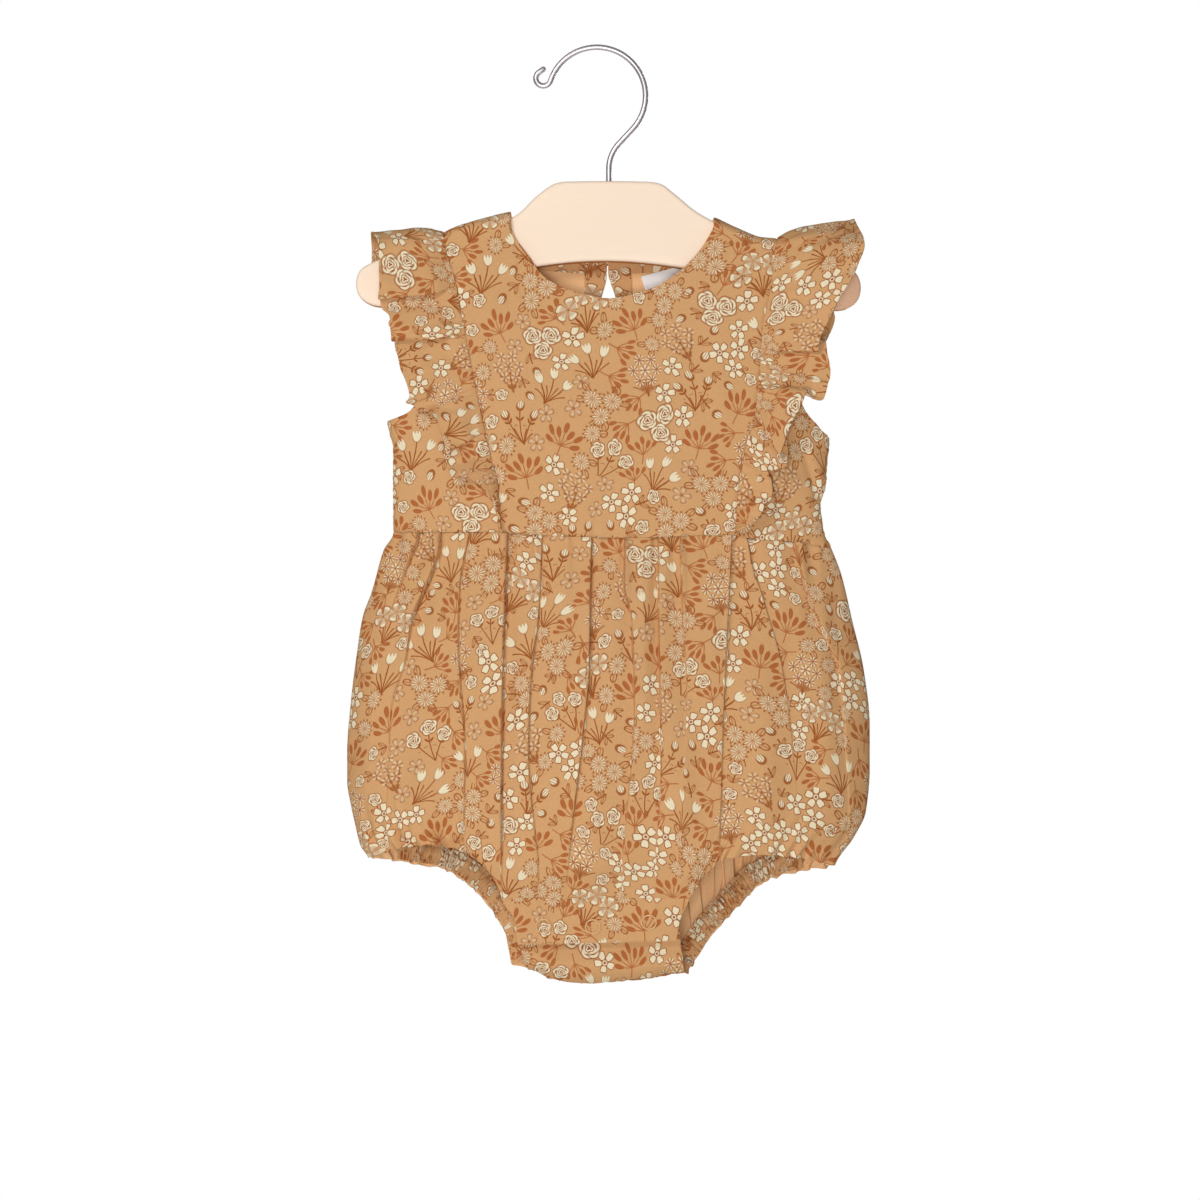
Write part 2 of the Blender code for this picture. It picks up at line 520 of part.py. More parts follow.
def crotch_line(side, share):
    """Bottom of a skirt between the leg edges: straight in front, the fold behind."""
    left, right = LEG_EDGES[side][0][-1][1], LEG_EDGES[side][1][-1][1]
    x = left + (right - left) * share
    if side < 0:
        return np.stack((x, np.full_like(x, LEG_FRONT_LEFT[-1][2])), -1)
    corner, fold_start = LEG_BACK_LEFT[-1], FLAP_LEFT[-1]
    slope = (fold_start[2] - corner[2]) / (fold_start[1] - corner[1])
    beside = corner[2] + (x - corner[1]) * slope
    fold = smooth(CROTCH_FOLD, 1, np.maximum(x, fold_start[1]))
    return np.stack((x, np.where(x < fold_start[1], beside, fold)), -1)


def hem(side):
    """Whole bottom edge of a skirt: left leg, crotch, right leg, as a function of a share."""
    left, right = LEG_EDGES[side]
    end_left, end_right = HEM_SHARES[side]

    def edge(share):
        share = np.clip(share, 0, 1)
        legs = np.where((share < .5)[..., None], along(left, share / end_left),
                        along(right, (1 - share) / (1 - end_right)))
        middle = crotch_line(side, (share - end_left) / (end_right - end_left))
        inside = (share > end_left) & (share < end_right)
        return np.where(inside[..., None], middle, legs)
    return edge


def side_seam(silhouette, top, bottom):
    """Side seam between two drops, as a function of a share."""
    def edge(share):
        drop = top + (bottom - top) * share
        return np.stack((smooth(silhouette, 1, drop), drop), -1)
    return edge


def pleat_place(pleat, down):
    """Share across where a pleat's crease lies at shares down the skirt."""
    start, end = WAIST[0][0], WAIST[-1][0]
    track = ((0, (pleat[0] - start) / (end - start)), (.5, pleat[1]), (1, pleat[2]))
    return smooth(track, 1, down)


def pleat_lift(pleats, across, down):
    """Height of the folds: each crease is a step that fades away on both sides."""
    total = np.zeros_like(across)
    for pleat in pleats:
        reach = (across - pleat_place(pleat, down)) * SKIRT_ACROSS / pleat[6]
        height = smooth(((0, pleat[3]), (.5, pleat[4]), (1, pleat[5])), 1, down)
        total -= height * np.tanh(reach / .3) * np.exp(-reach ** 2)
    return total * (1 - down ** 8)


def make_skirts():
    """Front and back of the bubble skirt, gathered into the waist in uneven pleats."""
    left_end, right_end = LEG_FRONT_LEFT[0][2], LEG_FRONT_RIGHT[0][2]
    for side, pleats, name in ((-1, FRONT_PLEATS, "front_skirt"), (1, BACK_PLEATS, "back_skirt")):
        rows = SKIRT_ROWS[:, None]
        creases = np.stack([pleat_place(pleat, SKIRT_ROWS) for pleat in pleats], 1)
        half = np.array([pleat[6] for pleat in pleats]) * .32 / SKIRT_ACROSS
        edges = [np.full_like(rows, stop) for stop in (0, .012, .04)]
        edges += [np.full_like(rows, 1 - stop) for stop in (0, .012, .04)]
        halfway = (creases[:, 1:] + creases[:, :-1]) / 2
        across = np.sort(np.concatenate([creases - half, creases + half, halfway] + edges, 1), 1)
        down = np.broadcast_to(rows, across.shape)
        grid = patch(waist_between(WAIST[0][0], WAIST[-1][0]), hem(side),
                     side_seam(LEFT_SIDE, WAIST[0][1], left_end),
                     side_seam(RIGHT_SIDE, WAIST[-1][1], right_end), across, down)
        panel(name, draw_in(grid, ("top", "bottom")), side, out=pleat_lift(pleats, across, down))


def make_leg_casings():
    """Elastic casings turned to the inside along the leg edges."""
    under = -(CLOTH + LAYER_GAP)
    stops = {-1: (.1, .86), 1: (.12, .9)}
    for side, face in ((-1, "front"), (1, "back")):
        for leg, word, turn in zip(LEG_EDGES[side], ("left", "right"), (1, -1)):
            edge = along(leg, np.linspace(*stops[side], 10))
            way = np.gradient(edge, axis=0)
            inward = np.stack((way[:, 1], -way[:, 0]), -1) * turn
            inward /= np.linalg.norm(inward, axis=-1, keepdims=True)
            steps = np.array((0, .5, 1))
            grid = np.stack([edge + inward * (HEM_GAP + CASING_WIDTH * step) for step in steps])
            panel(f"leg_casing_{face}_{word}", grid, side, thick=TRIM,
                  out=under - LAYER_GAP - steps[:, None] * CASING_SLACK)


def flap_fold(share):
    """Fold where the back turns up to the front, as a function of a share."""
    start, end = FLAP_LEFT[-1][1], FLAP_RIGHT[-1][1]
    x = start + (end - start) * share
    return np.stack((x, smooth(CROTCH_FOLD, 1, x)), -1)


def make_crotch():
    """Front snap band, the back's flap that comes up behind it, and the snaps."""
    across, down = np.meshgrid(np.linspace(0, 1, 10), np.linspace(0, 1, 4))
    foot = between(PLACKET_LEFT[-1][1:], PLACKET_RIGHT[-1][1:])
    grid = patch(lambda s: crotch_line(-1, s), foot,
                 lambda s: along(PLACKET_LEFT, s), lambda s: along(PLACKET_RIGHT, s), across, down)
    panel("crotch_placket", draw_in(grid, ("top",)), -1, thick=PLACKET)

    behind = PLACKET + STUD_HIGH + 2 * LAYER_GAP
    across, down = np.meshgrid(np.linspace(0, 1, 10), shares((0, .55, 2), (.55, 1, 6)))
    top = between((FLAP_LEFT[0][1], FLAP_TOP), (FLAP_RIGHT[0][1], FLAP_TOP))
    grid = patch(top, flap_fold, lambda s: along(FLAP_LEFT, s), lambda s: along(FLAP_RIGHT, s),
                 across, down)
    forward = np.clip((grid[..., 1] - FLAP_TURN) / (FLAP_TURN_END - FLAP_TURN), 0, 1)
    out = -behind * (1 - forward * forward * (3 - 2 * forward))
    panel("crotch_flap", grid, -1, out=out)

    enamel = finish("snap_enamel", "#D9A873", 0.35, 0.2)
    places, normals = body(np.array(SNAP_PLACES), -1)
    for number, (point, normal) in enumerate(zip(places, normals), 1):
        middle, half = (SNAP_OUTER + SNAP_INNER) / 4, (SNAP_OUTER - SNAP_INNER) / 4
        ring = [(middle + half * math.cos(a), SNAP_HIGH / 2 * (1 + math.sin(a)))
                for a in np.arange(6) * math.tau / 6]
        turned(f"snap_ring_{number}", ring, point + normal * LAYER_GAP, normal, enamel)
        disc = ((STUD_ACROSS / 2 - .5, 0), (STUD_ACROSS / 2, .5),
                (STUD_ACROSS / 2, STUD_HIGH - .5), (STUD_ACROSS / 2 - .5, STUD_HIGH))
        turned(f"snap_stud_{number}", disc, point - normal * (PLACKET + LAYER_GAP + STUD_HIGH),
               normal, finish("snap_steel", "#C9C6C2", 0.3, 1.0), sides=14, solid=True)


# ---- ruffles -----------------------------------------------------------------------------------
def ruffle_grid(seam, table, share, across):
    """Middle surface of a ruffle: from the seam, over the shoulder, out to its free edge.  It
    leaves the seam in a low roll and then runs straight to the edge."""
    half_way = np.abs(2 * share - 1)                    # 0 on the shoulder, 1 at the waist
    drop = seam[0][0] + (seam[-1][0] - 1.5 - seam[0][0]) * half_way
    side = np.where(share < .5, -1.0, 1.0)
    root = np.stack((smooth(seam, 1, drop), drop), -1)
    surface, normal = np.empty(share.shape + (3,)), np.empty(share.shape + (3,))
    for way in (-1, 1):
        here = side == way
        surface[here], normal[here] = body(root[here], way)
    on_top = share == .5
    normal[on_top] = (0, 0, 1)
    surface[on_top, 1] = 0
    clear = LAYER_GAP + RUFFLE_CLOTH / 2
    start = surface + normal * (clear + SEAM_GAP)
    edge = np.stack((smooth(table, 1, share), smooth(table, 3, share),
                     -smooth(table, 2, share)), -1)
    t = across[:, None, None]
    grid = start * (1 - t) + edge * t + normal * RUFFLE_ROLL * np.sin(math.pi * t) * (1 - t)
    clear += LAYER_GAP
    for way in (-1, 1):
        here = side == way
        x, low = grid[:, here, 0], -grid[:, here, 2]
        least = depth(x, low, way) + clear
        over_hanger = np.clip((low - smooth(SHOULDER, 1, x)) / SHOULDER_ROLL, 0, 1)
        least = np.maximum(least, over_hanger * (HANGER_THICK / 2 + clear + SEAM_GAP))
        grid[:, here, 1] = way * np.maximum(way * grid[:, here, 1], least)
    return grid


def make_ruffles():
    """Gathered strips set in the seams beside the yoke, running over both shoulders."""
    across = np.array((0, .3, .65, 1))
    for word, seam, table in (("left", LEFT_SEAM, LEFT_RUFFLE), ("right", RIGHT_SEAM, RIGHT_RUFFLE)):
        knots = np.array([row[0] for row in table])
        halves = (knots[1:] + knots[:-1]) / 2
        halves = halves[(np.diff(knots) > .0175) & (halves < .45)]
        over_shoulder = .5 + np.array((-.03, -.016, -.008, -.003, .003, .008, .016, .03))
        share = np.sort(np.concatenate((knots, halves, over_shoulder)))
        grid = ruffle_grid(seam, table, share, across)
        run, rise = np.gradient(grid, axis=1), np.gradient(grid, axis=0)
        normal = np.cross(run, rise)
        normal /= np.linalg.norm(normal, axis=-1, keepdims=True)
        half = normal * RUFFLE_CLOTH / 2
        wall(f"ruffle_{word}", grid + half, grid - half, cotton())


# ---- hanger ------------------------------------------------------------------------------------
def make_hanger():
    """Flat wooden hanger cut from one board, with a bore for the hook's wire."""
    outline = np.array(HANGER, float)
    count = len(outline)
    half = HANGER_THICK / 2
    front = np.stack((outline[:, 0], np.full(count, -half), -outline[:, 1]), -1)
    back = front * (1, -1, 1)
    faces = [list(range(count)), list(range(2 * count - 1, count - 1, -1))]
    faces += [[(i + 1) % count, i, i + count, (i + 1) % count + count] for i in range(count)]
    board = place("hanger_body", np.concatenate((front, back)), faces,
                  finish("pale_wood", "#FFE5CC", 0.5))
    rounding = board.modifiers.new("rounded_edges", "BEVEL")
    rounding.width = HANGER_EDGE_ROUND * MM
    rounding.segments = 3
    rounding.limit_method = "ANGLE"
    rounding.angle_limit = math.radians(50)

    deep = -HANGER_TOP - WIRE_IN_WOOD - (WIRE_BORE - WIRE)
    above = 4 - HANGER_TOP
    bore = cord("hook_bore", [(HOOK_SHANK_X, 0, deep), (HOOK_SHANK_X, 0, above)], WIRE_BORE,
                finish("pale_wood", "#FFE5CC", 0.5))
    mesh = bpy.data.meshes.new_from_object(bore.evaluated_get(
        bpy.context.evaluated_depsgraph_get()))
    bpy.data.objects.remove(bore)
    cutter = bpy.data.objects.new("hook_bore", mesh)
    bpy.context.collection.objects.link(cutter)
    cutter.hide_render = True
    cutter.display_type = "WIRE"
    cut = board.modifiers.new("bore", "BOOLEAN")
    cut.operation = "DIFFERENCE"
    cut.object = cutter


def arc(centre, radius, start, end, steps):
    """Points on a circle in the middle plane, from one angle in degrees to another."""
    angles = np.radians(np.linspace(start, end, steps))
    return [(centre[0] + radius * math.cos(a), 0, centre[1] + radius * math.sin(a))
            for a in angles]


def make_hook():
    """Wire hook: straight shank, reverse bend, open circle and a curled end."""
    shank_top = (HOOK_SHANK_X, -HOOK_SHANK_TOP)
    route = [(HOOK_SHANK_X, 0, -HANGER_TOP - WIRE_IN_WOOD), (HOOK_SHANK_X, 0, 3 - HANGER_TOP)]
    bend = (shank_top[0] + HOOK_BEND_RADIUS, shank_top[1])
    route += arc(bend, HOOK_BEND_RADIUS, 180, 180 - HOOK_TURN, 7)
    middle = (0.0, -(HOOK_RADIUS - WIRE / 2))
    route += arc(middle, HOOK_RADIUS, -HOOK_TURN, HOOK_END_ANGLE, 34)
    end = np.array((route[-1][0], route[-1][2]))
    tip = math.radians(HOOK_END_ANGLE)
    heading = np.array((-math.sin(tip), math.cos(tip)))
    end = end + heading * HOOK_CURL_RUN
    curl = end + np.array((heading[1], -heading[0])) * HOOK_CURL_RADIUS
    start = math.degrees(math.atan2(*(end - curl)[::-1]))
    route += arc(curl, HOOK_CURL_RADIUS, start, start - HOOK_CURL_TURN, 14)
    cord("hanger_hook", route, WIRE, finish("steel_wire", "#D0CDCA", 0.2, 1.0))


for old in list(bpy.data.objects):
    bpy.data.objects.remove(old)
make_hanger()
make_hook()
make_bodice()
make_neck_trims()
make_closure()
make_skirts()
make_leg_casings()
make_crotch()
make_ruffles()
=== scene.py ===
"""Looks of a baby romper with flutter ruffles on a wooden hanger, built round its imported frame.

Tables are in millimetres, with "drop" for the distance below the origin, which is the point where
the hook bears.  The front faces -Y and +Z is up; "left" is the side at -X.
"""
import math

import bpy
import numpy as np
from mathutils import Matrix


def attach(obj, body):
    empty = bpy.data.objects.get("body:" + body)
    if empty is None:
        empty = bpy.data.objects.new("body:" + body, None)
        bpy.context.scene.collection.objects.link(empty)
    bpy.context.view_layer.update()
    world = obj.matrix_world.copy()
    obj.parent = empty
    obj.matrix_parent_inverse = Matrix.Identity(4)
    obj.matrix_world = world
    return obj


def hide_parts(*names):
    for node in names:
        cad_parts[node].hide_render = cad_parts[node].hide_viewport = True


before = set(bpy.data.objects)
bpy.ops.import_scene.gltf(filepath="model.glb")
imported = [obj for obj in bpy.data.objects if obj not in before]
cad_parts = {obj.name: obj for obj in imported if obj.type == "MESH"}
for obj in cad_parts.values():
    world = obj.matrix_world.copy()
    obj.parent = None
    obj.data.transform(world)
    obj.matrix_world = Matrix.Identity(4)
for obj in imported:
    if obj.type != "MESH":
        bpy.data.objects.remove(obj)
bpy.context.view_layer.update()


# ---- camera, light and floor -------------------------------------------------------------------
# A long lens stands level and square to the front.  A broad soft lamp low behind it and a smaller one
# high on the left work over an even white fill.  A third lamp lights the back, and a pale floor lies
# well below the garment.
MM = 0.001
LENS, SENSOR = 100.0, 36.0
VIEW_WIDE = 0.624                        # what the picture takes in at the garment, metres
VIEW_X, VIEW_Z = 0.0016, -0.286
FILL = 0.21                              # light of the surroundings, which are seen as white
LAMP_AIM = (0, 0, -0.25)
LAMPS = (("front_lamp", (-0.12, -2.2, -0.5), 0.65, 22.0),        # place, width and power
         ("key_lamp", (-0.9, -1.6, 0.7), 0.5, 12.0),
         ("back_lamp", (0.3, 2.2, 0.2), 0.9, 30.0))
FLOOR_DROP, FLOOR_HALF = 1.0, 1.6


def linear(code):
    """Linear colour with alpha from an sRGB hex value."""
    channels = [int(code[i:i + 2], 16) / 255 for i in (1, 3, 5)]
    return (*(c / 12.92 if c <= 0.04045 else ((c + 0.055) / 1.055) ** 2.4 for c in channels), 1.0)


class Field:
    """A number that varies over a surface: arithmetic on it adds Math nodes to its material."""
    def __init__(self, tree, socket):
        self.tree, self.socket = tree, socket

    def to(self, operation, *others, clamp=False):
        """This number as the first input of a Math node, and the others as the next."""
        return Field(self.tree, add(self.tree, "ShaderNodeMath", self, *others, operation=operation,
                                    use_clamp=clamp))

    def __add__(self, other):
        return self.to("ADD", other)

    def __sub__(self, other):
        return self.to("SUBTRACT", other)

    def __mul__(self, other):
        return self.to("MULTIPLY", other)

    def __truediv__(self, other):
        return self.to("DIVIDE", other)

    def __rsub__(self, other):
        return self.to("MULTIPLY_ADD", -1.0, other)

    __radd__, __rmul__ = __add__, __mul__


def add(tree, kind, *values, output=0, **settings):
    """Adds a node: values fill its inputs in order (None leaves one alone), a setting with a capital
    fills the input of that name, and any other is a property.  Returns one of its outputs."""
    node = tree.nodes.new(kind)
    slots = list(enumerate(values))
    for name, value in settings.items():
        if name[0].isupper():
            slots.append((name.replace("_", " "), value))
        else:
            setattr(node, name, value)
    for slot, value in slots:
        if isinstance(value, Field):
            value = value.socket
        if isinstance(value, bpy.types.NodeSocket):
            tree.links.new(value, node.inputs[slot])
        elif value is not None:
            node.inputs[slot].default_value = value
    return node.outputs[output]


def finish(name, colour, roughness, metallic=0.0, **settings):
    """New Principled material with a plain colour, and any other inputs of its shader by name.
    Returns it, its node tree and its shader."""
    material = bpy.data.materials.new(name)
    material.use_nodes = True
    material.diffuse_color = linear(colour)
    shader = material.node_tree.nodes["Principled BSDF"]
    settings.update(Base_Color=linear(colour), Roughness=roughness, Metallic=metallic)
    for setting, value in settings.items():
        shader.inputs[setting.replace("_", " ")].default_value = value
    return material, material.node_tree, shader


scene = bpy.context.scene
scene.view_settings.view_transform = "Standard"
camera = bpy.data.objects.new("camera", bpy.data.cameras.new("camera"))
camera.data.lens, camera.data.sensor_width = LENS, SENSOR
camera.location = (VIEW_X, -VIEW_WIDE * LENS / SENSOR, VIEW_Z)
camera.rotation_euler = (math.radians(90), 0, 0)
scene.collection.objects.link(camera)
scene.camera = camera

scene.world = bpy.data.worlds.new("white_studio")
scene.world.use_nodes = True
tree = scene.world.node_tree
seen = Field(tree, add(tree, "ShaderNodeLightPath"))
surroundings = tree.nodes["Background"]
surroundings.inputs["Color"].default_value = linear("#FFFFFF")
tree.links.new((seen * (1.0 - FILL) + FILL).socket, surroundings.inputs["Strength"])

for name, spot, wide, power in LAMPS:
    lamp = bpy.data.objects.new(name, bpy.data.lights.new(name, "AREA"))
    lamp.data.size, lamp.data.energy = wide, power
    lamp.visible_camera = False
    lamp.location = spot
    aim = np.subtract(LAMP_AIM, spot)
    lamp.rotation_euler = (math.atan2(math.hypot(aim[0], aim[1]), -aim[2]), 0,
                           math.atan2(aim[1], aim[0]) - math.pi / 2)
    scene.collection.objects.link(lamp)

mesh = bpy.data.meshes.new("floor")
corners = [(x * FLOOR_HALF, y * FLOOR_HALF, -FLOOR_DROP)
           for x, y in ((-1, -1), (1, -1), (1, 1), (-1, 1))]
mesh.from_pydata(corners, [], [(0, 1, 2, 3)])
# Painted plaster: off-white and dead matt, so that it shows nothing but shading.
mesh.materials.append(finish("painted_plaster", "#F4F2EF", 0.9)[0])
floor = bpy.data.objects.new("floor", mesh)
scene.collection.objects.link(floor)


# ---- hanger board ------------------------------------------------------------------------------
# One flat board of pale hardwood, sawn to a shallow bow and sanded round along its edges, under a
# coat of cream lacquer.  The garment's shoulders lie over it.
HANGER_THICK = 10.0
HANGER_EDGE_ROUND = 1.8
HANGER_STEP = 2.0                        # between points along the outline

# Outline of the board: x, drop
HANGER = ((-22, 70), (-18, 69), (-12, 68.8), (22, 68.8), (28, 69), (33, 70), (40, 75), (51, 84),
          (61, 89.8), (72, 95.2), (85, 99), (94, 100.4), (106, 104), (118, 108), (129, 112.5),
          (135, 117), (137, 124), (135, 131), (129, 135), (118, 135), (96, 129), (70, 120),
          (45, 114), (30, 111.8), (6, 110.2), (-14, 111), (-32, 113.4), (-60, 120), (-90, 129),
          (-110, 134), (-118, 132.5), (-123.5, 128), (-125, 121), (-123, 115), (-117, 111),
          (-108, 107.5), (-97, 103), (-86, 99.2), (-80, 97), (-74, 94.2), (-54, 88.8),
          (-44.6, 87.6), (-30, 75.4))

GRAIN_LONG, GRAIN_WIDE = 90.0, 2.2       # figure of the wood, mm
# Painted shade: a painted shadow over the right end of the board, and painted shade round its edge.
END_SHADE_START, END_SHADE_DEPTH = 108.0, .5     # where its right end turns darker, and how much
EDGE_SHADE_ACROSS = (0, 0, 0, 0, .5, 1, 1, .5, 0, 0, 0, 0)    # round the edge, from front to back
SHARP = math.radians(55)                 # an edge that turns more than this stays sharp


def hermite(f, step, start, end, leaving, arriving):
    """Cubic between two values with given slopes, at a share f of the step between them."""
    return (start * (1 + 2 * f) * (1 - f) ** 2 + leaving * step * f * (1 - f) ** 2
            + end * f * f * (3 - 2 * f) - arriving * step * f * f * (1 - f))


def smooth(table, column, at):
    """Cubic through one column of a table that never overshoots its rows."""
    rows = np.asarray(table, float)
    knots, values = rows[:, 0], rows[:, column]
    step = np.diff(knots)
    rise = np.diff(values) / step
    slope = np.zeros(len(values))
    same = rise[1:] * rise[:-1] > 0
    slope[1:-1][same] = 2 * rise[1:][same] * rise[:-1][same] / (rise[1:] + rise[:-1])[same]
    slope[0], slope[-1] = rise[0], rise[-1]
    at = np.clip(at, knots[0], knots[-1])
    i = np.clip(np.searchsorted(knots, at) - 1, 0, len(step) - 1)
    f = (at - knots[i]) / step[i]
    return hermite(f, step[i], values[i], values[i + 1], slope[i], slope[i + 1])


def run_along(points):
    """Distance along a line of points to each of them."""
    steps = np.linalg.norm(np.diff(points, axis=0), axis=-1)
    return np.concatenate(([0.0], np.cumsum(steps)))


def made(name, points, faces, finishes, pick=None, cut=None):
    """Mesh object from points in mm, its faces turned outwards.  pick is each face's finish, and cut
    each point's place on the flat cloth, in mm."""
    mesh = bpy.data.meshes.new(name)
    mesh.from_pydata((np.asarray(points) * MM).tolist(), [], faces)
    for material in finishes:
        mesh.materials.append(material)
    if pick is not None:
        mesh.polygons.foreach_set("material_index", np.asarray(pick, np.int32))
    if cut is not None:
        corner = np.empty(len(mesh.loops), np.int32)
        mesh.loops.foreach_get("vertex_index", corner)
        layer = mesh.uv_layers.new(name="cut")
        layer.data.foreach_set("uv", np.asarray(cut, np.float32)[corner].ravel())
    mesh.calc_loop_triangles()
    corner = np.empty(len(mesh.loop_triangles) * 3, np.int32)
    mesh.loop_triangles.foreach_get("vertices", corner)
    a, b, c = np.moveaxis(np.asarray(points, float)[corner.reshape(-1, 3)], 1, 0)
    if np.einsum("ij,ij->", a, np.cross(b, c)) < 0:
        mesh.flip_normals()
    mesh.shade_smooth()
    mesh.set_sharp_from_angle(angle=SHARP)
    thing = bpy.data.objects.new(name, mesh)
    scene.collection.objects.link(thing)
    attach(thing, "root")
    return thing


outline = np.array(HANGER + HANGER[:1], float)
run = run_along(outline)
wrapped = np.concatenate((outline[-4:-1], outline, outline[1:4]))
knots = np.concatenate((run[-4:-1] - run[-1], run, run[1:4] + run[-1]))
place = np.arange(0, run[-1], HANGER_STEP)
slopes = np.gradient(wrapped, knots, axis=0)
i = np.searchsorted(knots, place, side="right") - 1
span = (knots[i + 1] - knots[i])[:, None]
f = ((place - knots[i])[:, None]) / span
rim = hermite(f, span, wrapped[i], wrapped[i + 1], slopes[i], slopes[i + 1])
way = np.roll(rim, -1, 0) - np.roll(rim, 1, 0)
inward = np.stack((-way[:, 1], way[:, 0]), -1) / np.linalg.norm(way, axis=-1, keepdims=True)
turn = np.radians(np.linspace(0, 90, 6))
inset = HANGER_EDGE_ROUND * (1 - np.sin(turn))
high = HANGER_THICK / 2 - HANGER_EDGE_ROUND * (1 - np.cos(turn))
inset = np.concatenate((inset, inset[::-1]))
high = np.concatenate((high, -high[::-1]))
section = rim[:, None] + inward[:, None] * inset[:, None]
points = np.stack((section[..., 0], np.broadcast_to(-high, section.shape[:2]), -section[..., 1]), -1)
index = np.arange(points.shape[0] * points.shape[1]).reshape(points.shape[:2])
after = np.roll(index, -1, 0)
faces = np.stack((index[:, :-1], after[:, :-1], after[:, 1:], index[:, 1:]), -1).reshape(-1, 4).tolist()
faces += [index[::-1, 0].tolist(), index[:, -1].tolist()]

# A mix of two colours, and the inputs that it leaves alone between its factor and the colours
COLOUR_MIX, NO_NUMBERS = {"data_type": "RGBA", "output": 2}, (None,) * 5

# Lacquered beech: cream lacquer fills the pores, so the figure is only just seen, and the gloss is
# soft.  Its rounded edges and its right end are painted a darker brown: painted shade along the
# edges, and a painted shadow on the right end, which the right ruffle shades.
pale_wood, tree, shader = finish("lacquered_beech", "#FFE5CC", 0.55, Specular_IOR_Level=0.15,
                                 Coat_Weight=0.06, Coat_Roughness=0.2)
spot = add(tree, "ShaderNodeTexCoord", output=3)
stretched = add(tree, "ShaderNodeMapping", spot,
                Scale=(1 / (GRAIN_LONG * MM), 1 / (GRAIN_WIDE * MM), 1 / (GRAIN_WIDE * MM)))
figure = add(tree, "ShaderNodeTexNoise", stretched, Scale=1.0, Detail=3.0, Roughness=0.6)
edge = add(tree, "ShaderNodeAttribute", attribute_name="painted_edge_shade", output=2)
wood = add(tree, "ShaderNodeMix", figure, *NO_NUMBERS, linear("#FFE5CB"), linear("#FFEAD4"),
           **COLOUR_MIX)
painted_shade_wood = add(tree, "ShaderNodeMix", edge, *NO_NUMBERS, wood, linear("#D8843A"), **COLOUR_MIX)
tree.links.new(painted_shade_wood, shader.inputs["Base Color"])
tree.links.new(add(tree, "ShaderNodeBump", Strength=0.06, Distance=0.0002, Height=figure),
               shader.inputs["Normal"])

board = made("hanger_board", points.reshape(-1, 3), faces, [pale_wood])
# Painted shade on the board: darker round its edge, and darker towards its right end.
painted_shade = np.repeat(np.array(EDGE_SHADE_ACROSS)[None], len(points), 0)
painted_shade = np.maximum(painted_shade, END_SHADE_DEPTH * np.clip((points[..., 0] - END_SHADE_START) / 10, 0, 1))
board.data.attributes.new("painted_edge_shade", "FLOAT", "POINT").data.foreach_set("value", painted_shade.ravel())
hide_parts("hanger_body")


# ---- hanger hook -------------------------------------------------------------------------------
# Bright steel wire, bent cold: a straight shank set in the board, a reverse bend, three quarters of a
# circle and a curled end.
WIRE = 2.9
HANGER_TOP = 69.0
WIRE_IN_WOOD = 14.0
HOOK_RADIUS = 25.3
HOOK_SHANK_X = 6.2
HOOK_SHANK_TOP = 62.0
HOOK_BEND_RADIUS = 19.6
HOOK_TURN = 45.0
HOOK_END_ANGLE = 158.0
HOOK_CURL_RADIUS = 3.9
HOOK_CURL_TURN = 215.0
HOOK_CURL_RUN = 2.0
HOOK_END_RUN = 2.5


def arc(centre, radius, start, end, steps):
    """Points on a circle in the middle plane, from one angle in degrees to another."""
    angles = np.radians(np.linspace(start, end, steps))
    return [(centre[0] + radius * math.cos(a), 0, centre[1] + radius * math.sin(a))
            for a in angles]


def tube(name, path, across, finishes, sides=16, cut=None):
    """Round wire or cord along a path, with half-round ends: at each point a circle square to the
    path, which shrinks as a ball does over the last radius of each end."""
    path = np.asarray(path, float)
    radius = across / 2
    way = np.gradient(path, axis=0)
    way /= np.linalg.norm(way, axis=-1, keepdims=True)
    lean = np.radians((0, 25, 50, 70, 88))
    start = path[:1] - way[:1] * np.sin(lean[::-1, None]) * radius
    end = path[-1:] + way[-1:] * np.sin(lean[:, None]) * radius
    middle = np.concatenate((start, path[1:-1], end))
    heading = np.concatenate((np.repeat(way[:1], len(lean), 0), way[1:-1],
                              np.repeat(way[-1:], len(lean), 0)))
    size = np.concatenate((np.cos(lean[::-1]), np.ones(len(path) - 2), np.cos(lean))) * radius
    side = np.cross(heading, (0, 1.0, 0))
    side /= np.linalg.norm(side, axis=-1, keepdims=True)
    over = np.cross(side, heading)
    angle = np.arange(sides) * math.tau / sides
    spoke = (np.cos(angle)[None, :, None] * side[:, None]
             + np.sin(angle)[None, :, None] * over[:, None])
    points = middle[:, None] + spoke * size[:, None, None]
    index = np.arange(points.shape[0] * sides).reshape(-1, sides)
    after = np.roll(index, -1, 1)
    faces = np.stack((index[:-1], after[:-1], after[1:], index[1:]), -1).reshape(-1, 4).tolist()
    faces += [index[0, ::-1].tolist(), index[-1].tolist()]
    if cut is not None:
        run = run_along(middle)
        cut = np.stack(np.meshgrid(angle * radius, run), -1).reshape(-1, 2) + cut
    return made(name, points.reshape(-1, 3), faces, finishes, cut=cut)


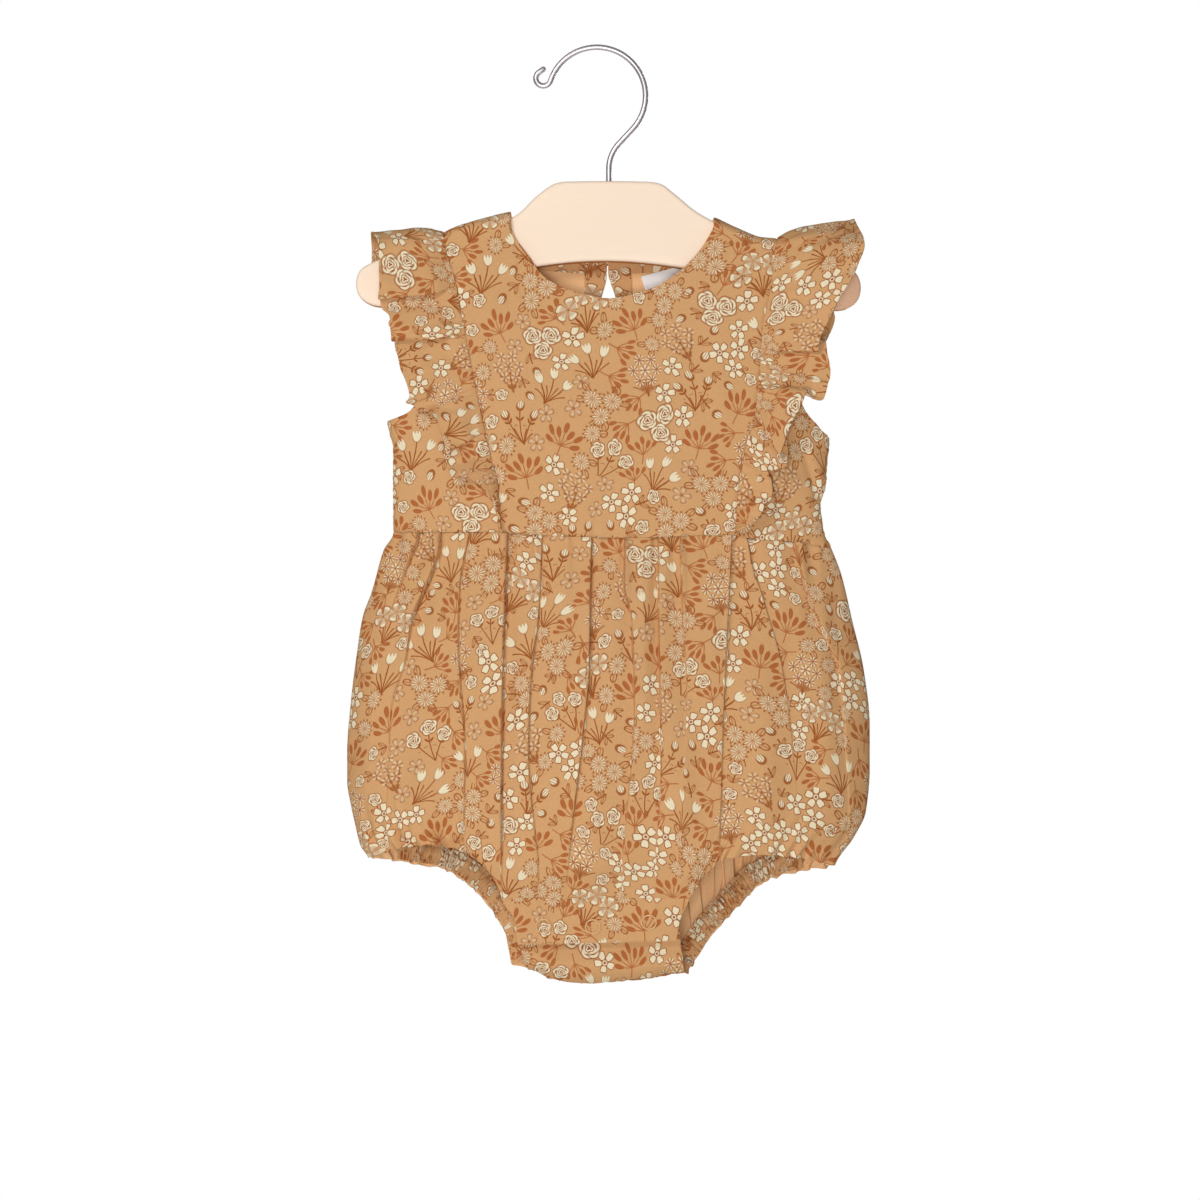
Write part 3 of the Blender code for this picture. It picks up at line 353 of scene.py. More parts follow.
route = [(HOOK_SHANK_X, 0, -HANGER_TOP - WIRE_IN_WOOD + WIRE / 2)]
route += [(HOOK_SHANK_X, 0, 3 - HANGER_TOP), (HOOK_SHANK_X, 0, 5 - HANGER_TOP)]
route += arc((HOOK_SHANK_X + HOOK_BEND_RADIUS, -HOOK_SHANK_TOP), HOOK_BEND_RADIUS,
             180, 180 - HOOK_TURN, 14)
route += arc((0.0, -(HOOK_RADIUS - WIRE / 2)), HOOK_RADIUS, -HOOK_TURN + 1, HOOK_END_ANGLE, 90)
tip = math.radians(HOOK_END_ANGLE)
heading = np.array((-math.sin(tip), math.cos(tip)))
end = np.array((route[-1][0], route[-1][2])) + heading * HOOK_CURL_RUN
curl = end + np.array((heading[1], -heading[0])) * HOOK_CURL_RADIUS
start = math.degrees(math.atan2(*(end - curl)[::-1]))
route += arc(curl, HOOK_CURL_RADIUS, start, start - HOOK_CURL_TURN, 36)
last = np.subtract(route[-1], route[-2])
route.append(tuple(route[-1] + last / np.linalg.norm(last) * HOOK_END_RUN))

# Polished steel wire: a soft mirror, with faint marks from drawing.
steel_wire, tree, shader = finish("polished_steel_wire", "#DAD4D7", 0.4, 1.0)
marks = add(tree, "ShaderNodeTexNoise", add(tree, "ShaderNodeTexCoord", output=3), Scale=300.0,
            Detail=1.0)
tree.links.new(add(tree, "ShaderNodeMapRange", marks, 0.3, 0.7, 0.38, 0.42),
               shader.inputs["Roughness"])
hook = tube("hook_wire", route, WIRE, [steel_wire])
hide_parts("hanger_hook")


# ---- printed cotton ----------------------------------------------------------------------------
# Cotton lawn in a plain weave, roller printed on one side only with small scattered flowers in three
# colours on tan.  The motifs stand in a loose brick lattice, with smaller ones between them.
CELL_WIDE, CELL_HIGH, CELL_TILT = 26.5, 22.5, 0.33
CELL_LOOSE = 2.2                         # how far a motif may stray in its cell, mm
WARP_LONG, WARP_FAR = 0.02, 9.0          # slow drift that bends the lattice's rows
PICK_ACROSS, PICK_UP = 0.3819, 0.7236    # steps between cells' picks that keep neighbours unlike
MOTIF_SWING = 1.1                        # how far clusters turn either way in all, radians
ROOT_BELOW = 12.0                        # of three stems, under the middle of their motif
STEM_SPREAD, STEM_HALF = 0.52, 0.29      # angle between stems, and half of their width
THREAD = 0.55                            # spacing drawn, twice the real one, so that it shows
DYE_UNEVEN = 0.22                        # spread of the cloth's brightness
STITCH, SEWING_THREAD = 2.4, "#EFCBA3"   # length of a stitch and its gap, mm
STEM_BEND = 0.035                        # how far a motif's stems curve aside
# The wrong side is a little paler than the printed side, and its colour is painted paler still: painted
# light for the shaded insides, where it is mostly seen.
TAN, LIT_WRONG_SIDE, CREAM, RUST, LINE = "#D2A16F", "#F4C38F", "#EBDDBB", "#AF6333", "#9B5323"


def inside(field, sharpness):
    """Mask that is 1 where a shape's field is below 1, with a slightly soft edge."""
    return (1.0 - field).to("MULTIPLY_ADD", sharpness, 0.5, clamp=True)


def band(field, half, sharpness):
    """Mask of a line where a field is within half of nought."""
    return (half - field.to("ABSOLUTE")).to("MULTIPLY_ADD", sharpness, 0.5, clamp=True)


def polar(x, y):
    """Distance from the middle, and turn from the y axis."""
    return (x * x + y * y).to("SQRT"), x.to("ARCTAN2", y)


def fan(angle, distance, count):
    """Folds a circle into equal sectors: x across a sector and y along its middle line."""
    off = (angle * (count / math.tau)).to("FRACT").to("MULTIPLY_ADD", math.tau / count,
                                                      -math.pi / count)
    return distance * off.to("SINE"), distance * off.to("COSINE")


def petals(x, y, middle, half_long, spread):
    """Field of a wedge-shaped petal that widens with its distance from the flower's middle."""
    long, wide = (y - middle) / half_long, (x / y) / spread
    return long * long + wide * wide


def oval(x, y, half_x, half_y):
    """Field that is 1 on an ellipse."""
    across, along = x / half_x, y / half_y
    return across * across + along * along


def least(*fields):
    """Smallest of several fields at each place."""
    total = fields[0]
    for field in fields[1:]:
        total = total.to("MINIMUM", field)
    return total


def most(*fields):
    """Largest of several fields at each place."""
    total = fields[0]
    for field in fields[1:]:
        total = total.to("MAXIMUM", field)
    return total


# Each motif gives masks of its cream, its rust and its brown lines, from a Spot in its cell.
class Spot:
    """A place about a motif's middle, in mm: x and y, distance r and turn a, and the same place
    folded about the heads of three flowers (trio) or of three stems from one root (head)."""
    def __init__(self, x, y):
        self.x, self.y = x, y
        self.r, self.a = polar(x, y)
        self.trio = fan(self.a, self.r, 3)
        self.far, self.turn = polar(x, y + ROOT_BELOW)
        self.side = (self.turn / STEM_SPREAD).to("ROUND").to("MAXIMUM", -1.0).to("MINIMUM", 1.0)
        off = self.turn - self.side * STEM_SPREAD
        self.off, self.reach = self.far * off.to("SINE"), self.far * off.to("COSINE")
        self.head = self.off, self.reach + self.side.to("ABSOLUTE") * 2.6 - 18.0
        self.stem = most(self.off.to("ABSOLUTE") / STEM_HALF, (self.far - 15.5) * 4.0)


def squared(value):
    """Fourth power, for shapes with blunt corners."""
    twice = value * value
    return twice * twice


def open_flower(x, y):
    """Open flower of five blunt petals round a ringed eye."""
    r, a = polar(x, y)
    px, py = fan(a, r, 5)
    notched = py - 3.6 + px * px * 0.12 + (px * 2.9).to("COSINE") * 0.16
    petal = squared(notched / 1.8) + squared(px / (py * 0.16 + 0.95))
    ring = band(r - 0.95, 0.28, 3)
    return most(inside(petal, 1.5), ring), None, most(inside(petal / 2.6, 2.2), inside(r / 1.5, 3))


def open_flowers(spot):
    """Three open flowers, nearly touching."""
    return open_flower(spot.trio[0], spot.trio[1] - 6.6)


def grass(spot, step, count, high):
    """Thin blades that spread from a motif's root, a step of turn apart."""
    side = (spot.turn / step).to("ROUND").to("MAXIMUM", -count * 1.0).to("MINIMUM", count * 1.0)
    off = (spot.turn - side * step - (spot.far - 5.0) * side * 0.012).to("ABSOLUTE") * spot.far
    return inside(most(off / (0.15 + spot.far * 0.02), (spot.far - high) * 3.0), 1.3)


def tulips(spot):
    """Three crowned heads on stems from one root, with blades of grass between."""
    hx, hy = spot.head
    teeth = (hx / 1.55).to("FRACT").to("MULTIPLY_ADD", 2.0, -1.0).to("ABSOLUTE")
    head = most(oval(hx, hy - 1.4, 2.3, 4.2), hy - teeth * 2.1 - 0.2)
    return (inside(head, 2.6), None,
            most(inside(spot.stem, 1.3), grass(spot, 0.23, 3, 10.5), inside(head / 1.22, 3)))


def leaf_fan(x, y, leaves, size):
    """Masks of teardrop leaves on branches that spread from one point of a stem."""
    far, turn = polar(x, y + 4.0 * size)
    step = 0.5 - far * (0.008 / size)
    side = (turn / step).to("ROUND").to("MAXIMUM", -leaves * 1.0).to("MINIMUM", leaves * 1.0)
    off = turn - side * step
    nearer = (side * 0.5 + 8.0).to("FRACT") * 4.6 * size
    beside, reach = far * off.to("SINE"), far * off.to("COSINE") + nearer
    leaf = oval(beside / (reach * 0.06 / size + 0.5), reach - 9.4 * size, 1.15 * size, 2.8 * size)
    branch = most(beside.to("ABSOLUTE") / 0.26, reach / (7.5 * size))
    stem = most(x.to("ABSOLUTE") / 0.3, y + 4.0 * size, (-9.5 * size - y) * 2.0)
    veined = inside(leaf, 2.2) * (1.0 - band(beside, 0.12, 3) * 0.25)
    return None, most(veined, inside(least(branch, stem), 1.4) * 0.9), None


def sprig(spot):
    """Seven rust leaves in a fan on one stem."""
    return leaf_fan(spot.x, spot.y, 3, 1.0)


def leaf_outline(x, y, half_x, half_y):
    """Line round an oval leaf, with its midrib."""
    leaf = oval(x, y, half_x, half_y)
    return most(band(leaf - 1.0, 0.3, 2.6), inside(leaf, 3) * band(x, 0.15, 3))


def daisy(x, y, size=1.0):
    """Masks of a ring of thin rays, of the brown lines round them, and of two leaves below it."""
    r, a = polar(x, y)
    px, py = fan(a, r, 13)
    ray = petals(px, py, (a * 5.0).to("SINE") * 0.2 + 2.35 * size, 1.85 * size, 0.092)
    beside = x.to("ABSOLUTE")
    leaf = leaf_outline(beside * 0.79 + y * 0.61, beside * 0.61 - y * 0.79 - 6.0 * size,
                        1.55 * size, 2.5 * size)
    disc = inside(r / (4.2 * size), 4)
    return inside(ray, 1.5), None, most(inside(ray / 2.6, 1.5), leaf * (1.0 - disc))


def daisies(spot):
    """Three daisies with their leaves outwards."""
    return daisy(spot.trio[0], 5.2 - spot.trio[1])


def star_heads(spot, rays, thin):
    """Seven small star flowers of thin rays about the middle: mask and distance from each."""
    far, turn = polar(spot.x, spot.y - 1.6)
    fx, fy = fan(turn, far, 6)
    fy = fy - (far - 3.1).to("GREATER_THAN", 0.0) * 6.2
    near, about = polar(fx, fy)
    px, py = fan(about, near, rays)
    return inside(petals(px, py, 1.7, 1.15, thin), 1.2), near


def asters(spot):
    """Seven small star flowers above a tuft of stems."""
    ray, near = star_heads(spot, 8, 0.17)
    return ray * 0.9, inside(near, 1.1), most(inside(near / 2.5, 2) * 0.65, grass(spot, 0.14, 5, 8.5))


def stars(spot):
    """Seven outlined five-pointed flowers on dotted stems."""
    ray, near = star_heads(spot, 5, 0.36)
    dots = most(spot.off.to("ABSOLUTE") / 0.75, (spot.reach * 1.6).to("SINE") * 2.0,
                (spot.far - 10.5) * 2.0)
    return ray * 0.45, None, most(inside(near / 2.6, 2) * (1.0 - ray) * 0.6,
                                  inside(least(dots, spot.stem), 1) * 0.9)


def rose(x, y, across):
    """Round rose: wavy rings of cream petals, parted by brown lines, round a dot."""
    far, a = polar(x, y)
    r = (far + (a * 5.0).to("SINE") * 0.24) / across
    parted = band((a * (5.0 / math.tau) + r * 1.3).to("FRACT") - 0.5, 0.06, 7)
    outer = band(r - 0.85, 0.13, 12) * (1.0 - parted)
    heart = (far + (a * 3.0 + 1.0).to("SINE") * 0.34) / across
    between = band((a * (3.0 / math.tau) - heart * 1.5).to("FRACT") - 0.5, 0.07, 7)
    inner = band(heart - 0.53, 0.105, 12) * (1.0 - between)
    return most(outer, inner, band(heart - 0.25, 0.08, 12)), None, inside(r / 1.1, 6)


def lined(masks, *lines):
    """A head's masks with more brown lines about it."""
    cream, rust, line = masks
    return cream, rust, most(line, *lines)


def stem_leaves(spot):
    """Outlined leaves in pairs on each of three stems."""
    beside = spot.off.to("ABSOLUTE")
    step = (spot.reach - 7.0 - beside * 0.75).to("PINGPONG", 1.9)
    leaf = most(oval(beside - 1.2, step, 1.0, 0.65), (spot.reach - 13.0) * 2.0,
                (9.0 - spot.reach) * 2.0)
    return inside(leaf, 1.5)


def roses(spot):
    """Three roses on stems from one root, with small leaves."""
    return lined(rose(*spot.head, 3.65), inside(spot.stem, 1.5), stem_leaves(spot))


def rose_trio(spot):
    """Three larger roses, nearly touching."""
    return rose(spot.trio[0], spot.trio[1] - 5.6, 4.8)


def mallow(x, y):
    """Open flower of five broad petals with brown ribs."""
    r, a = polar(x, y)
    px, py = fan(a, r, 5)
    slant = (px / py).to("ABSOLUTE")
    petal = petals(px, py - slant * 0.5, 2.75, 2.3, 0.5)
    ribs = band((slant * 6.5).to("FRACT") - 0.5, 0.2, 6) * (4.0 - py).to("MULTIPLY", 1.2, clamp=True)
    return inside(petal, 2.4) * (1.0 - ribs), None, inside(petal / 1.5, 2.6)


def mallows(spot):
    """Three mallows on stems from one root, with blades of grass between."""
    return lined(mallow(*spot.head), inside(spot.stem, 1.5), grass(spot, 0.2, 3, 9.5))


def bud(x, y):
    """Round bud with cream stripes in a brown cup."""
    cup = oval(x, y, 2.0, 2.4)
    stripes = band((x * 0.85).to("FRACT") - 0.5, 0.17, 4)
    cream = inside(oval(x, y - 0.8, 1.5, 2.0), 2.2) * (1.0 - stripes * 0.8)
    return cream, None, inside(cup / 1.3, 2.2) * 0.9


def buds(spot):
    """Three buds on stems from one root, with leaves."""
    return lined(bud(*spot.head), inside(spot.stem, 1.5), stem_leaves(spot),
                 grass(spot, 0.4, 2, 7.5))


def on_stem(spot, low):
    """Mask of a short stem under a lone flower, with one outlined leaf each side."""
    beside, above = spot.x.to("ABSOLUTE"), spot.y + 7.2
    stem = most(beside / 0.36, (spot.y + 2.5) * 2.0, (low - spot.y) * 2.0)
    leaf = leaf_outline(beside * 0.75 - above * 0.66, above * 0.75 + beside * 0.66 - 2.4, 0.95, 2.3)
    return most(inside(stem, 1.5), leaf)


def lone_flower(spot):
    """One open flower."""
    return open_flower(spot.x / 0.94, spot.y / 0.94)


def lone_rose(spot):
    """One small rose on a stem."""
    return lined(rose(spot.x, spot.y - 1.0, 3.3), on_stem(spot, -9.5))


def lone_daisy(spot):
    """One daisy with its leaves."""
    return daisy(spot.x, spot.y - 1.0, 0.95)


def lone_star(spot):
    """Outlined star flower with five long petals."""
    px, py = fan(spot.a, spot.r, 5)
    petal = petals(px, py, 2.3, 1.9, 0.4)
    return inside(petal, 2.4) * 0.3, None, most(band(petal - 1.0, 0.42, 2.2), inside(spot.r, 1.5)) * 0.8


def lone_bud(spot):
    """One bud on a stem with a leaf each side."""
    return lined(bud(spot.x, spot.y - 3.0), on_stem(spot, -10.0))


def lone_leaves(spot):
    """Five small rust leaves in a fan."""
    return leaf_fan(spot.x, spot.y - 0.5, 2, 0.8)


CLUSTERS = ((open_flowers, 1.1), (tulips, 1.3), (sprig, 1.8), (daisies, 1.3), (asters, 0.8),
            (stars, 0.8), (roses, 0.9), (rose_trio, 0.4), (mallows, 0.9), (buds, 0.5))
FILLERS = ((lone_flower, 1.0), (lone_rose, 0.8), (lone_daisy, 1.2), (lone_star, 0.6),
           (lone_bud, 1.0), (lone_leaves, 1.5))


def parts(tree, socket):
    """The three numbers of a vector."""
    return [Field(tree, add(tree, "ShaderNodeSeparateXYZ", socket, output=i)) for i in range(3)]


def cell(tree, u, v, loose):
    """Place in a brick lattice's cell: x and y from its shaken middle, chance numbers and a pick."""
    row = (v / CELL_HIGH).to("FLOOR")
    shifted = u / CELL_WIDE + row * 0.5
    column = shifted.to("FLOOR")
    spot = add(tree, "ShaderNodeCombineXYZ", column, row)
    chance = parts(tree, add(tree, "ShaderNodeTexWhiteNoise", spot, noise_dimensions="2D", output=1))
    x = (shifted - column - 0.5) * CELL_WIDE + (chance[0] - 0.5) * loose
    y = (v / CELL_HIGH - row - 0.5) * CELL_HIGH + (chance[1] - 0.5) * loose
    order = column * PICK_ACROSS + row * PICK_UP + chance[0] * 0.08
    return x, y, chance, order.to("FRACT")


def swung(x, y, angle):
    """x and y turned about the middle."""
    sine, cosine = angle.to("SINE"), angle.to("COSINE")
    return x * cosine - y * sine, x * sine + y * cosine


def chosen(x, y, pick, motifs):
    """Masks of the motif that a cell's pick falls on."""
    spot = Spot(x, y)
    pick = pick * sum(share for _, share in motifs)
    total, start = [None, None, None], 0.0
    for motif, share in motifs:
        here = (pick - (start + share / 2)).to("ABSOLUTE").to("LESS_THAN", share / 2)
        start += share
        for i, mask in enumerate(motif(spot)):
            if mask is not None:
                total[i] = mask * here if total[i] is None else mask.to("MULTIPLY_ADD", here, total[i])
    return total


def printed(tree, u, v):
    """Masks of the cream, the rust and the brown lines at a place on the flat cloth, in mm."""
    wave = parts(tree, add(tree, "ShaderNodeTexNoise", add(tree, "ShaderNodeCombineXYZ", u, v),
                           noise_dimensions="2D", Scale=WARP_LONG, Detail=1.0, output=1))
    u, v = u + wave[0] * WARP_FAR, v + wave[1] * WARP_FAR
    lean, up = math.sin(CELL_TILT), math.cos(CELL_TILT)
    u, v = u * up - v * lean, u * lean + v * up
    x, y, chance, pick = cell(tree, u, v, CELL_LOOSE)
    x, y = swung(x, y, (chance[2] - 0.5).to("MULTIPLY_ADD", MOTIF_SWING, -CELL_TILT))
    clusters = chosen(x + (chance[0] - 0.5) * y * y * STEM_BEND, y, pick, CLUSTERS)
    one = cell(tree, u - CELL_WIDE / 2, v - CELL_HIGH / 3, 0.6)
    two = cell(tree, u - CELL_WIDE / 2, v + CELL_HIGH / 3, 0.6)
    nearer = polar(one[0], one[1])[0].to("LESS_THAN", polar(two[0], two[1])[0])
    x, y, pick, angle = (b + (a - b) * nearer for a, b in
                         ((one[0], two[0]), (one[1], two[1]), (one[3], two[3]),
                          (one[2][2], two[2][2])))
    x, y = swung(x, y, angle * math.tau)
    fillers = chosen(x + y * y * STEM_BEND * 0.5, y, (pick * 3.7).to("FRACT"), FILLERS)
    clear = 1.0 - most(*clusters)
    return [a.to("MAXIMUM", b * clear) for a, b in zip(clusters, fillers)]


def lawn(name, colour, with_print):
    """Cotton lawn: matt, with a little fuzz that lightens it at grazing angles, a plain weave in
    its bump and threads that took the dye unevenly."""
    material, tree, shader = finish(name, colour, 0.88, Sheen_Weight=0.05, Sheen_Roughness=0.6,
                                    Sheen_Tint=linear(colour), Specular_IOR_Level=0.1)
    u, v, _ = parts(tree, add(tree, "ShaderNodeUVMap", uv_map="cut"))
    spot = add(tree, "ShaderNodeCombineXYZ", u, v)
    mottle = Field(tree, add(tree, "ShaderNodeTexNoise", spot, noise_dimensions="2D", Scale=0.9,
                             Detail=3.0, Roughness=0.65))
    base = linear(colour)
    if with_print:
        cream, rust, line = printed(tree, u, v)
        for mask, ink in ((line, LINE), (rust, RUST), (cream, CREAM)):
            base = add(tree, "ShaderNodeMix", mask, *NO_NUMBERS, base, linear(ink), **COLOUR_MIX)
    tone = mottle.to("MULTIPLY_ADD", DYE_UNEVEN, 1.0 - DYE_UNEVEN / 2)
    base = add(tree, "ShaderNodeVectorMath", base if with_print else base[:3],
               add(tree, "ShaderNodeCombineXYZ", tone, tone, tone), operation="MULTIPLY")
    tree.links.new(base, shader.inputs["Base Color"])
    over = (u * (math.pi / THREAD)).to("SINE") * (v * (math.pi / THREAD)).to("SINE")
    near = Field(tree, add(tree, "ShaderNodeAttribute", attribute_name="stitched", output=2))
    stitch = near * band((u / STITCH).to("FRACT") - 0.5, 0.3, 8)
    base = add(tree, "ShaderNodeMix", stitch * 0.85, *NO_NUMBERS, base, linear(SEWING_THREAD),
               **COLOUR_MIX)
    weave = add(tree, "ShaderNodeBump", Strength=0.35, Distance=0.00012,
                Height=over + mottle * 0.6 + stitch * 2.0)
    tree.links.new(weave, shader.inputs["Normal"])
    return material


right_side = lawn("printed_cotton_lawn", TAN, True)
# The wrong side's colour holds painted light for the shaded insides.
lit_wrong_side = lawn("cotton_lawn_wrong_side_lit", LIT_WRONG_SIDE, False)


# ---- front yoke --------------------------------------------------------------------------------
# The front of the bodice, one flat piece from the neckline to the waist.  The shoulders are sewn to
# the back over the hanger, and the ruffles are caught in its side seams.
COTTON = 0.7                             # one layer with its turned-in edge, as it looks
SEAM_GAP = 0.12
SEAM_DIP, SEAM_REACH = 0.35, 1.2         # how deep and how wide a seam sinks in beside the stitching
SHOULDER_ROLL = 5.0                      # depth over which the cloth turns over the hanger
CROTCH_ROLL = 12.0                       # height over which the back turns up to the front
LENS_POWER = 0.55                        # roundness of the folded side edge
RIM_OUT = .62                            # how far a rim's edges stand apart, of the thickness
# Puckers beside the waist and beside the ruffles: height, pitch, reach
YOKE_PUCKERS = ((.28, 7, 6), (.3, 5, 5))

# Side silhouettes of the body: drop, x
LEFT_SIDE = ((69, -109), (193, -109), (202, -107), (206, -106), (251, -106), (260, -111),
             (281, -117), (295, -122), (314, -125), (338, -128), (365, -130), (380, -130),
             (393, -128), (402, -126), (414, -123), (420, -119), (432, -117), (490, -116))
RIGHT_SIDE = ((69, 121), (202, 121), (213, 120), (240, 117), (250, 118), (259, 122), (272, 127),
              (297, 133), (323, 139), (351, 142), (374, 142), (396, 140), (409, 134), (424, 124),
              (435, 122), (490, 121))

# Fullness: drop, front depth, back depth, boxiness of the section
FULLNESS = ((69, 7.4, 7.4, 14), (97, 7.4, 7.6, 14), (110, 8.8, 9.6, 12), (130, 11, 10.6, 9),
            (161, 13, 12, 6), (195, 15, 15, 3.4), (224, 15, 15, 2.8), (255, 14.5, 15, 2.6),
            (286, 20, 22, 2.4), (338, 28, 31, 2.2), (380, 30, 34, 2.2), (416, 26, 30, 2.3),
            (442, 18, 21, 2.6), (463, 13, 15, 3), (490, 9, 10, 3))

# Shoulder line, rising out of the way inside the neck: x, drop
SHOULDER = ((-150, 121), (-86, 97), (-80, 95), (-74, 92), (-54, 86), (-45, 84), (-38, 68),
            (8, 40), (54, 70), (61, 87), (72, 92), (85, 97), (94, 98), (100, 99), (160, 118))

# Fold at the bottom of the crotch: x, drop
CROTCH_FOLD = ((-130, 525), (-45, 496), (-35, 478), (-24, 483), (-3, 485.5), (22, 483),
               (46, 480), (56, 500), (130, 525))

WAIST = ((-106, 251), (-52, 251), (-32, 252.5), (16, 254), (69, 252.5), (81, 254.5),
         (103, 256), (122, 259))                                              # x, drop

# Seams that hold the ruffles: drop, x
LEFT_SEAM = ((95, -80), (106, -78), (119, -74), (134, -71), (155, -67), (180, -62), (208, -56),
             (229, -51), (245, -50), (251, -49))
RIGHT_SEAM = ((98, 94), (109, 92), (130, 89), (143, 86), (167, 84), (194, 81), (206, 77),
              (218, 75), (229, 73), (244, 72), (252.6, 71))

# Necklines with the shoulder seams at both ends: share, x, drop
FRONT_NECK = ((0, -80, 95), (.06, -74, 92), (.14, -54, 86), (.18, -45, 84), (.205, -46, 87),
              (.25, -43, 97), (.3, -36, 107), (.37, -27, 119), (.44, -10, 127), (.5, 6, 130),
              (.57, 25, 126), (.64, 37, 120), (.69, 46, 113), (.74, 56, 101), (.79, 61, 90),
              (.81, 61, 87), (.86, 72, 92), (.94, 85, 97), (1, 94, 98))
YOKE_ROWS = ((0, .04, 10), (.04, .3, 34), (.3, 1, 84))
YOKE_COLUMNS = ((0, .18, 20), (.18, .26, 14), (.26, .74, 76), (.74, .81, 13), (.81, 1, 20))

# Soft folds of the front yoke: from x, drop to x, drop, half width, height
YOKE_FOLDS = ((-44, 246, -20, 205, 5, .5), (-30, 150, -52, 215, 7, .5), (52, 246, 30, 200, 6, .5),
              (60, 150, 68, 205, 6, .6), (-8, 250, -2, 215, 5, .35), (20, 251, 24, 222, 5, .35),
              (-60, 120, -48, 150, 6, .5), (76, 118, 60, 150, 7, .5))


def along(table, share):
    """Points (x, drop) at shares of the way along an outline."""
    return np.stack((smooth(table, 1, share), smooth(table, 2, share)), -1)


def depth(x, drop, side):
    """Distance of a layer from the middle plane: a flat lens, boxier over the hanger, that closes
    in a quarter round along the shoulder and at the bottom of the crotch."""
    left, right = smooth(LEFT_SIDE, 1, drop), smooth(RIGHT_SIDE, 1, drop)
    across = np.clip(np.abs(2 * x - left - right) / (right - left), 0, 1)
    lens = (1 - across ** smooth(FULLNESS, 3, drop)) ** LENS_POWER
    below = np.clip((drop - smooth(SHOULDER, 1, x)) / SHOULDER_ROLL, 0, 1)
    above = np.clip((smooth(CROTCH_FOLD, 1, x) - drop) / CROTCH_ROLL, 0, 1)
    full = smooth(FULLNESS, 1 if side < 0 else 2, drop)
    return full * lens * np.sqrt(1 - (1 - below) ** 2) * np.sqrt(1 - (1 - above) ** 2)


def body(grid, side):
    """Points of the body's surface and its outward normals; side is -1 in front, 1 behind."""
    x, drop = grid[..., 0], grid[..., 1]
    near = 0.002
    slope_x = (depth(x + near, drop, side) - depth(x - near, drop, side)) / (2 * near)
    slope_down = (depth(x, drop + near, side) - depth(x, drop - near, side)) / (2 * near)
    normal = np.stack((-slope_x, np.full_like(x, side), slope_down), -1)
    normal /= np.linalg.norm(normal, axis=-1, keepdims=True)
    return np.stack((x, side * depth(x, drop, side), -drop), -1), normal


def apart(points, side):
    """Keeps a layer on its own side of the middle plane."""
    points[..., 1] = side * np.maximum(side * points[..., 1], SEAM_GAP / 2)
    return points


def patch(top, bottom, left, right, across, down):
    """Coons patch: opposite edges blended both ways, less the corners that are counted twice.
    The edges are functions of a share; left and right run downwards."""
    u, v = across[..., None], down[..., None]
    one, zero = np.ones_like(across), np.zeros_like(across)
    corners = ((1 - v) * ((1 - u) * top(zero) + u * top(one))
               + v * ((1 - u) * bottom(zero) + u * bottom(one)))
    return ((1 - v) * top(across) + v * bottom(across)
            + (1 - u) * left(down) + u * right(down) - corners)


def shares(*stops):
    """Shares at even steps between the stops given as (start, end, steps)."""
    runs = [np.linspace(start, end, steps, endpoint=False) for start, end, steps in stops]
    return np.concatenate(runs + [[stops[-1][1]]])


RIMS = {"top": (np.s_[:1], np.s_[1:2]), "bottom": (np.s_[-1:], np.s_[-2:-1]),
        "left": (np.s_[:, :1], np.s_[:, 1:2]), "right": (np.s_[:, -1:], np.s_[:, -2:-1])}


def draw_in(grid, edges):
    """Moves named edges of a panel in by half a seam gap, towards the next row or column."""
    moved = grid.copy()
    for edge in edges:
        rim, beside = RIMS[edge]
        way = grid[beside] - grid[rim]
        moved[rim] += way / np.linalg.norm(way, axis=-1, keepdims=True) * SEAM_GAP / 4
    return moved


def away(grid, edge):
    """Distance of each point of a panel from one of its edges, along its row or column."""
    return np.linalg.norm(grid - grid[RIMS[edge][0]], axis=-1)


def sunk(grid, edges):
    """How far a panel sinks in beside the edges that are sewn."""
    return sum(-SEAM_DIP * np.exp(-(away(grid, edge) / SEAM_REACH) ** 2) for edge in edges)


def ripple(place, pitch, seed):
    """Uneven ripple, mostly within 1 of nought: sine waves of lengths round one pitch, summed."""
    chance = np.random.RandomState(seed)
    lengths, starts = pitch * chance.uniform(.65, 1.7, 8), chance.uniform(0, math.tau, 8)
    return sum(np.sin(place * math.tau / a + b) for a, b in zip(lengths, starts)) / 2.4


def rumple(x, y, size, seed):
    """Soft unevenness, mostly within 1 of nought: plane waves in chance directions, summed."""
    chance = np.random.RandomState(seed)
    total = 0
    for _ in range(12):
        turn, length, start = chance.uniform(0, math.tau), size * chance.uniform(.7, 1.8), chance.rand()
        total = total + np.sin((x * math.cos(turn) + y * math.sin(turn)) * math.tau / length
                               + start * math.tau)
    return total / 3


def puckers(place, far, row, seed):
    """Ripples drawn in beside a seam, from a row of their height, pitch and reach."""
    height, pitch, reach = row
    return height * ripple(place, pitch, seed) * np.exp(-far / reach)


def eased(share):
    """Share that leaves nought and reaches 1 gently."""
    return share * share * (3 - 2 * share)


def soft_folds(grid, rows):
    """Sum of soft folds: each is a bell across a straight line, and fades towards its ends."""
    x, drop = grid[..., 0], grid[..., 1]
    total = np.zeros_like(x)
    for x0, drop0, x1, drop1, half, height in rows:
        long = math.hypot(x1 - x0, drop1 - drop0)
        run = ((x - x0) * (x1 - x0) + (drop - drop0) * (drop1 - drop0)) / long ** 2
        off = ((x - x0) * (drop1 - drop0) - (drop - drop0) * (x1 - x0)) / long
        ends = np.clip(np.minimum(run, 1 - run) * 2.5 + .5, 0, 1)
        total += height * np.exp(-(off / half) ** 2) * eased(ends)
    return total


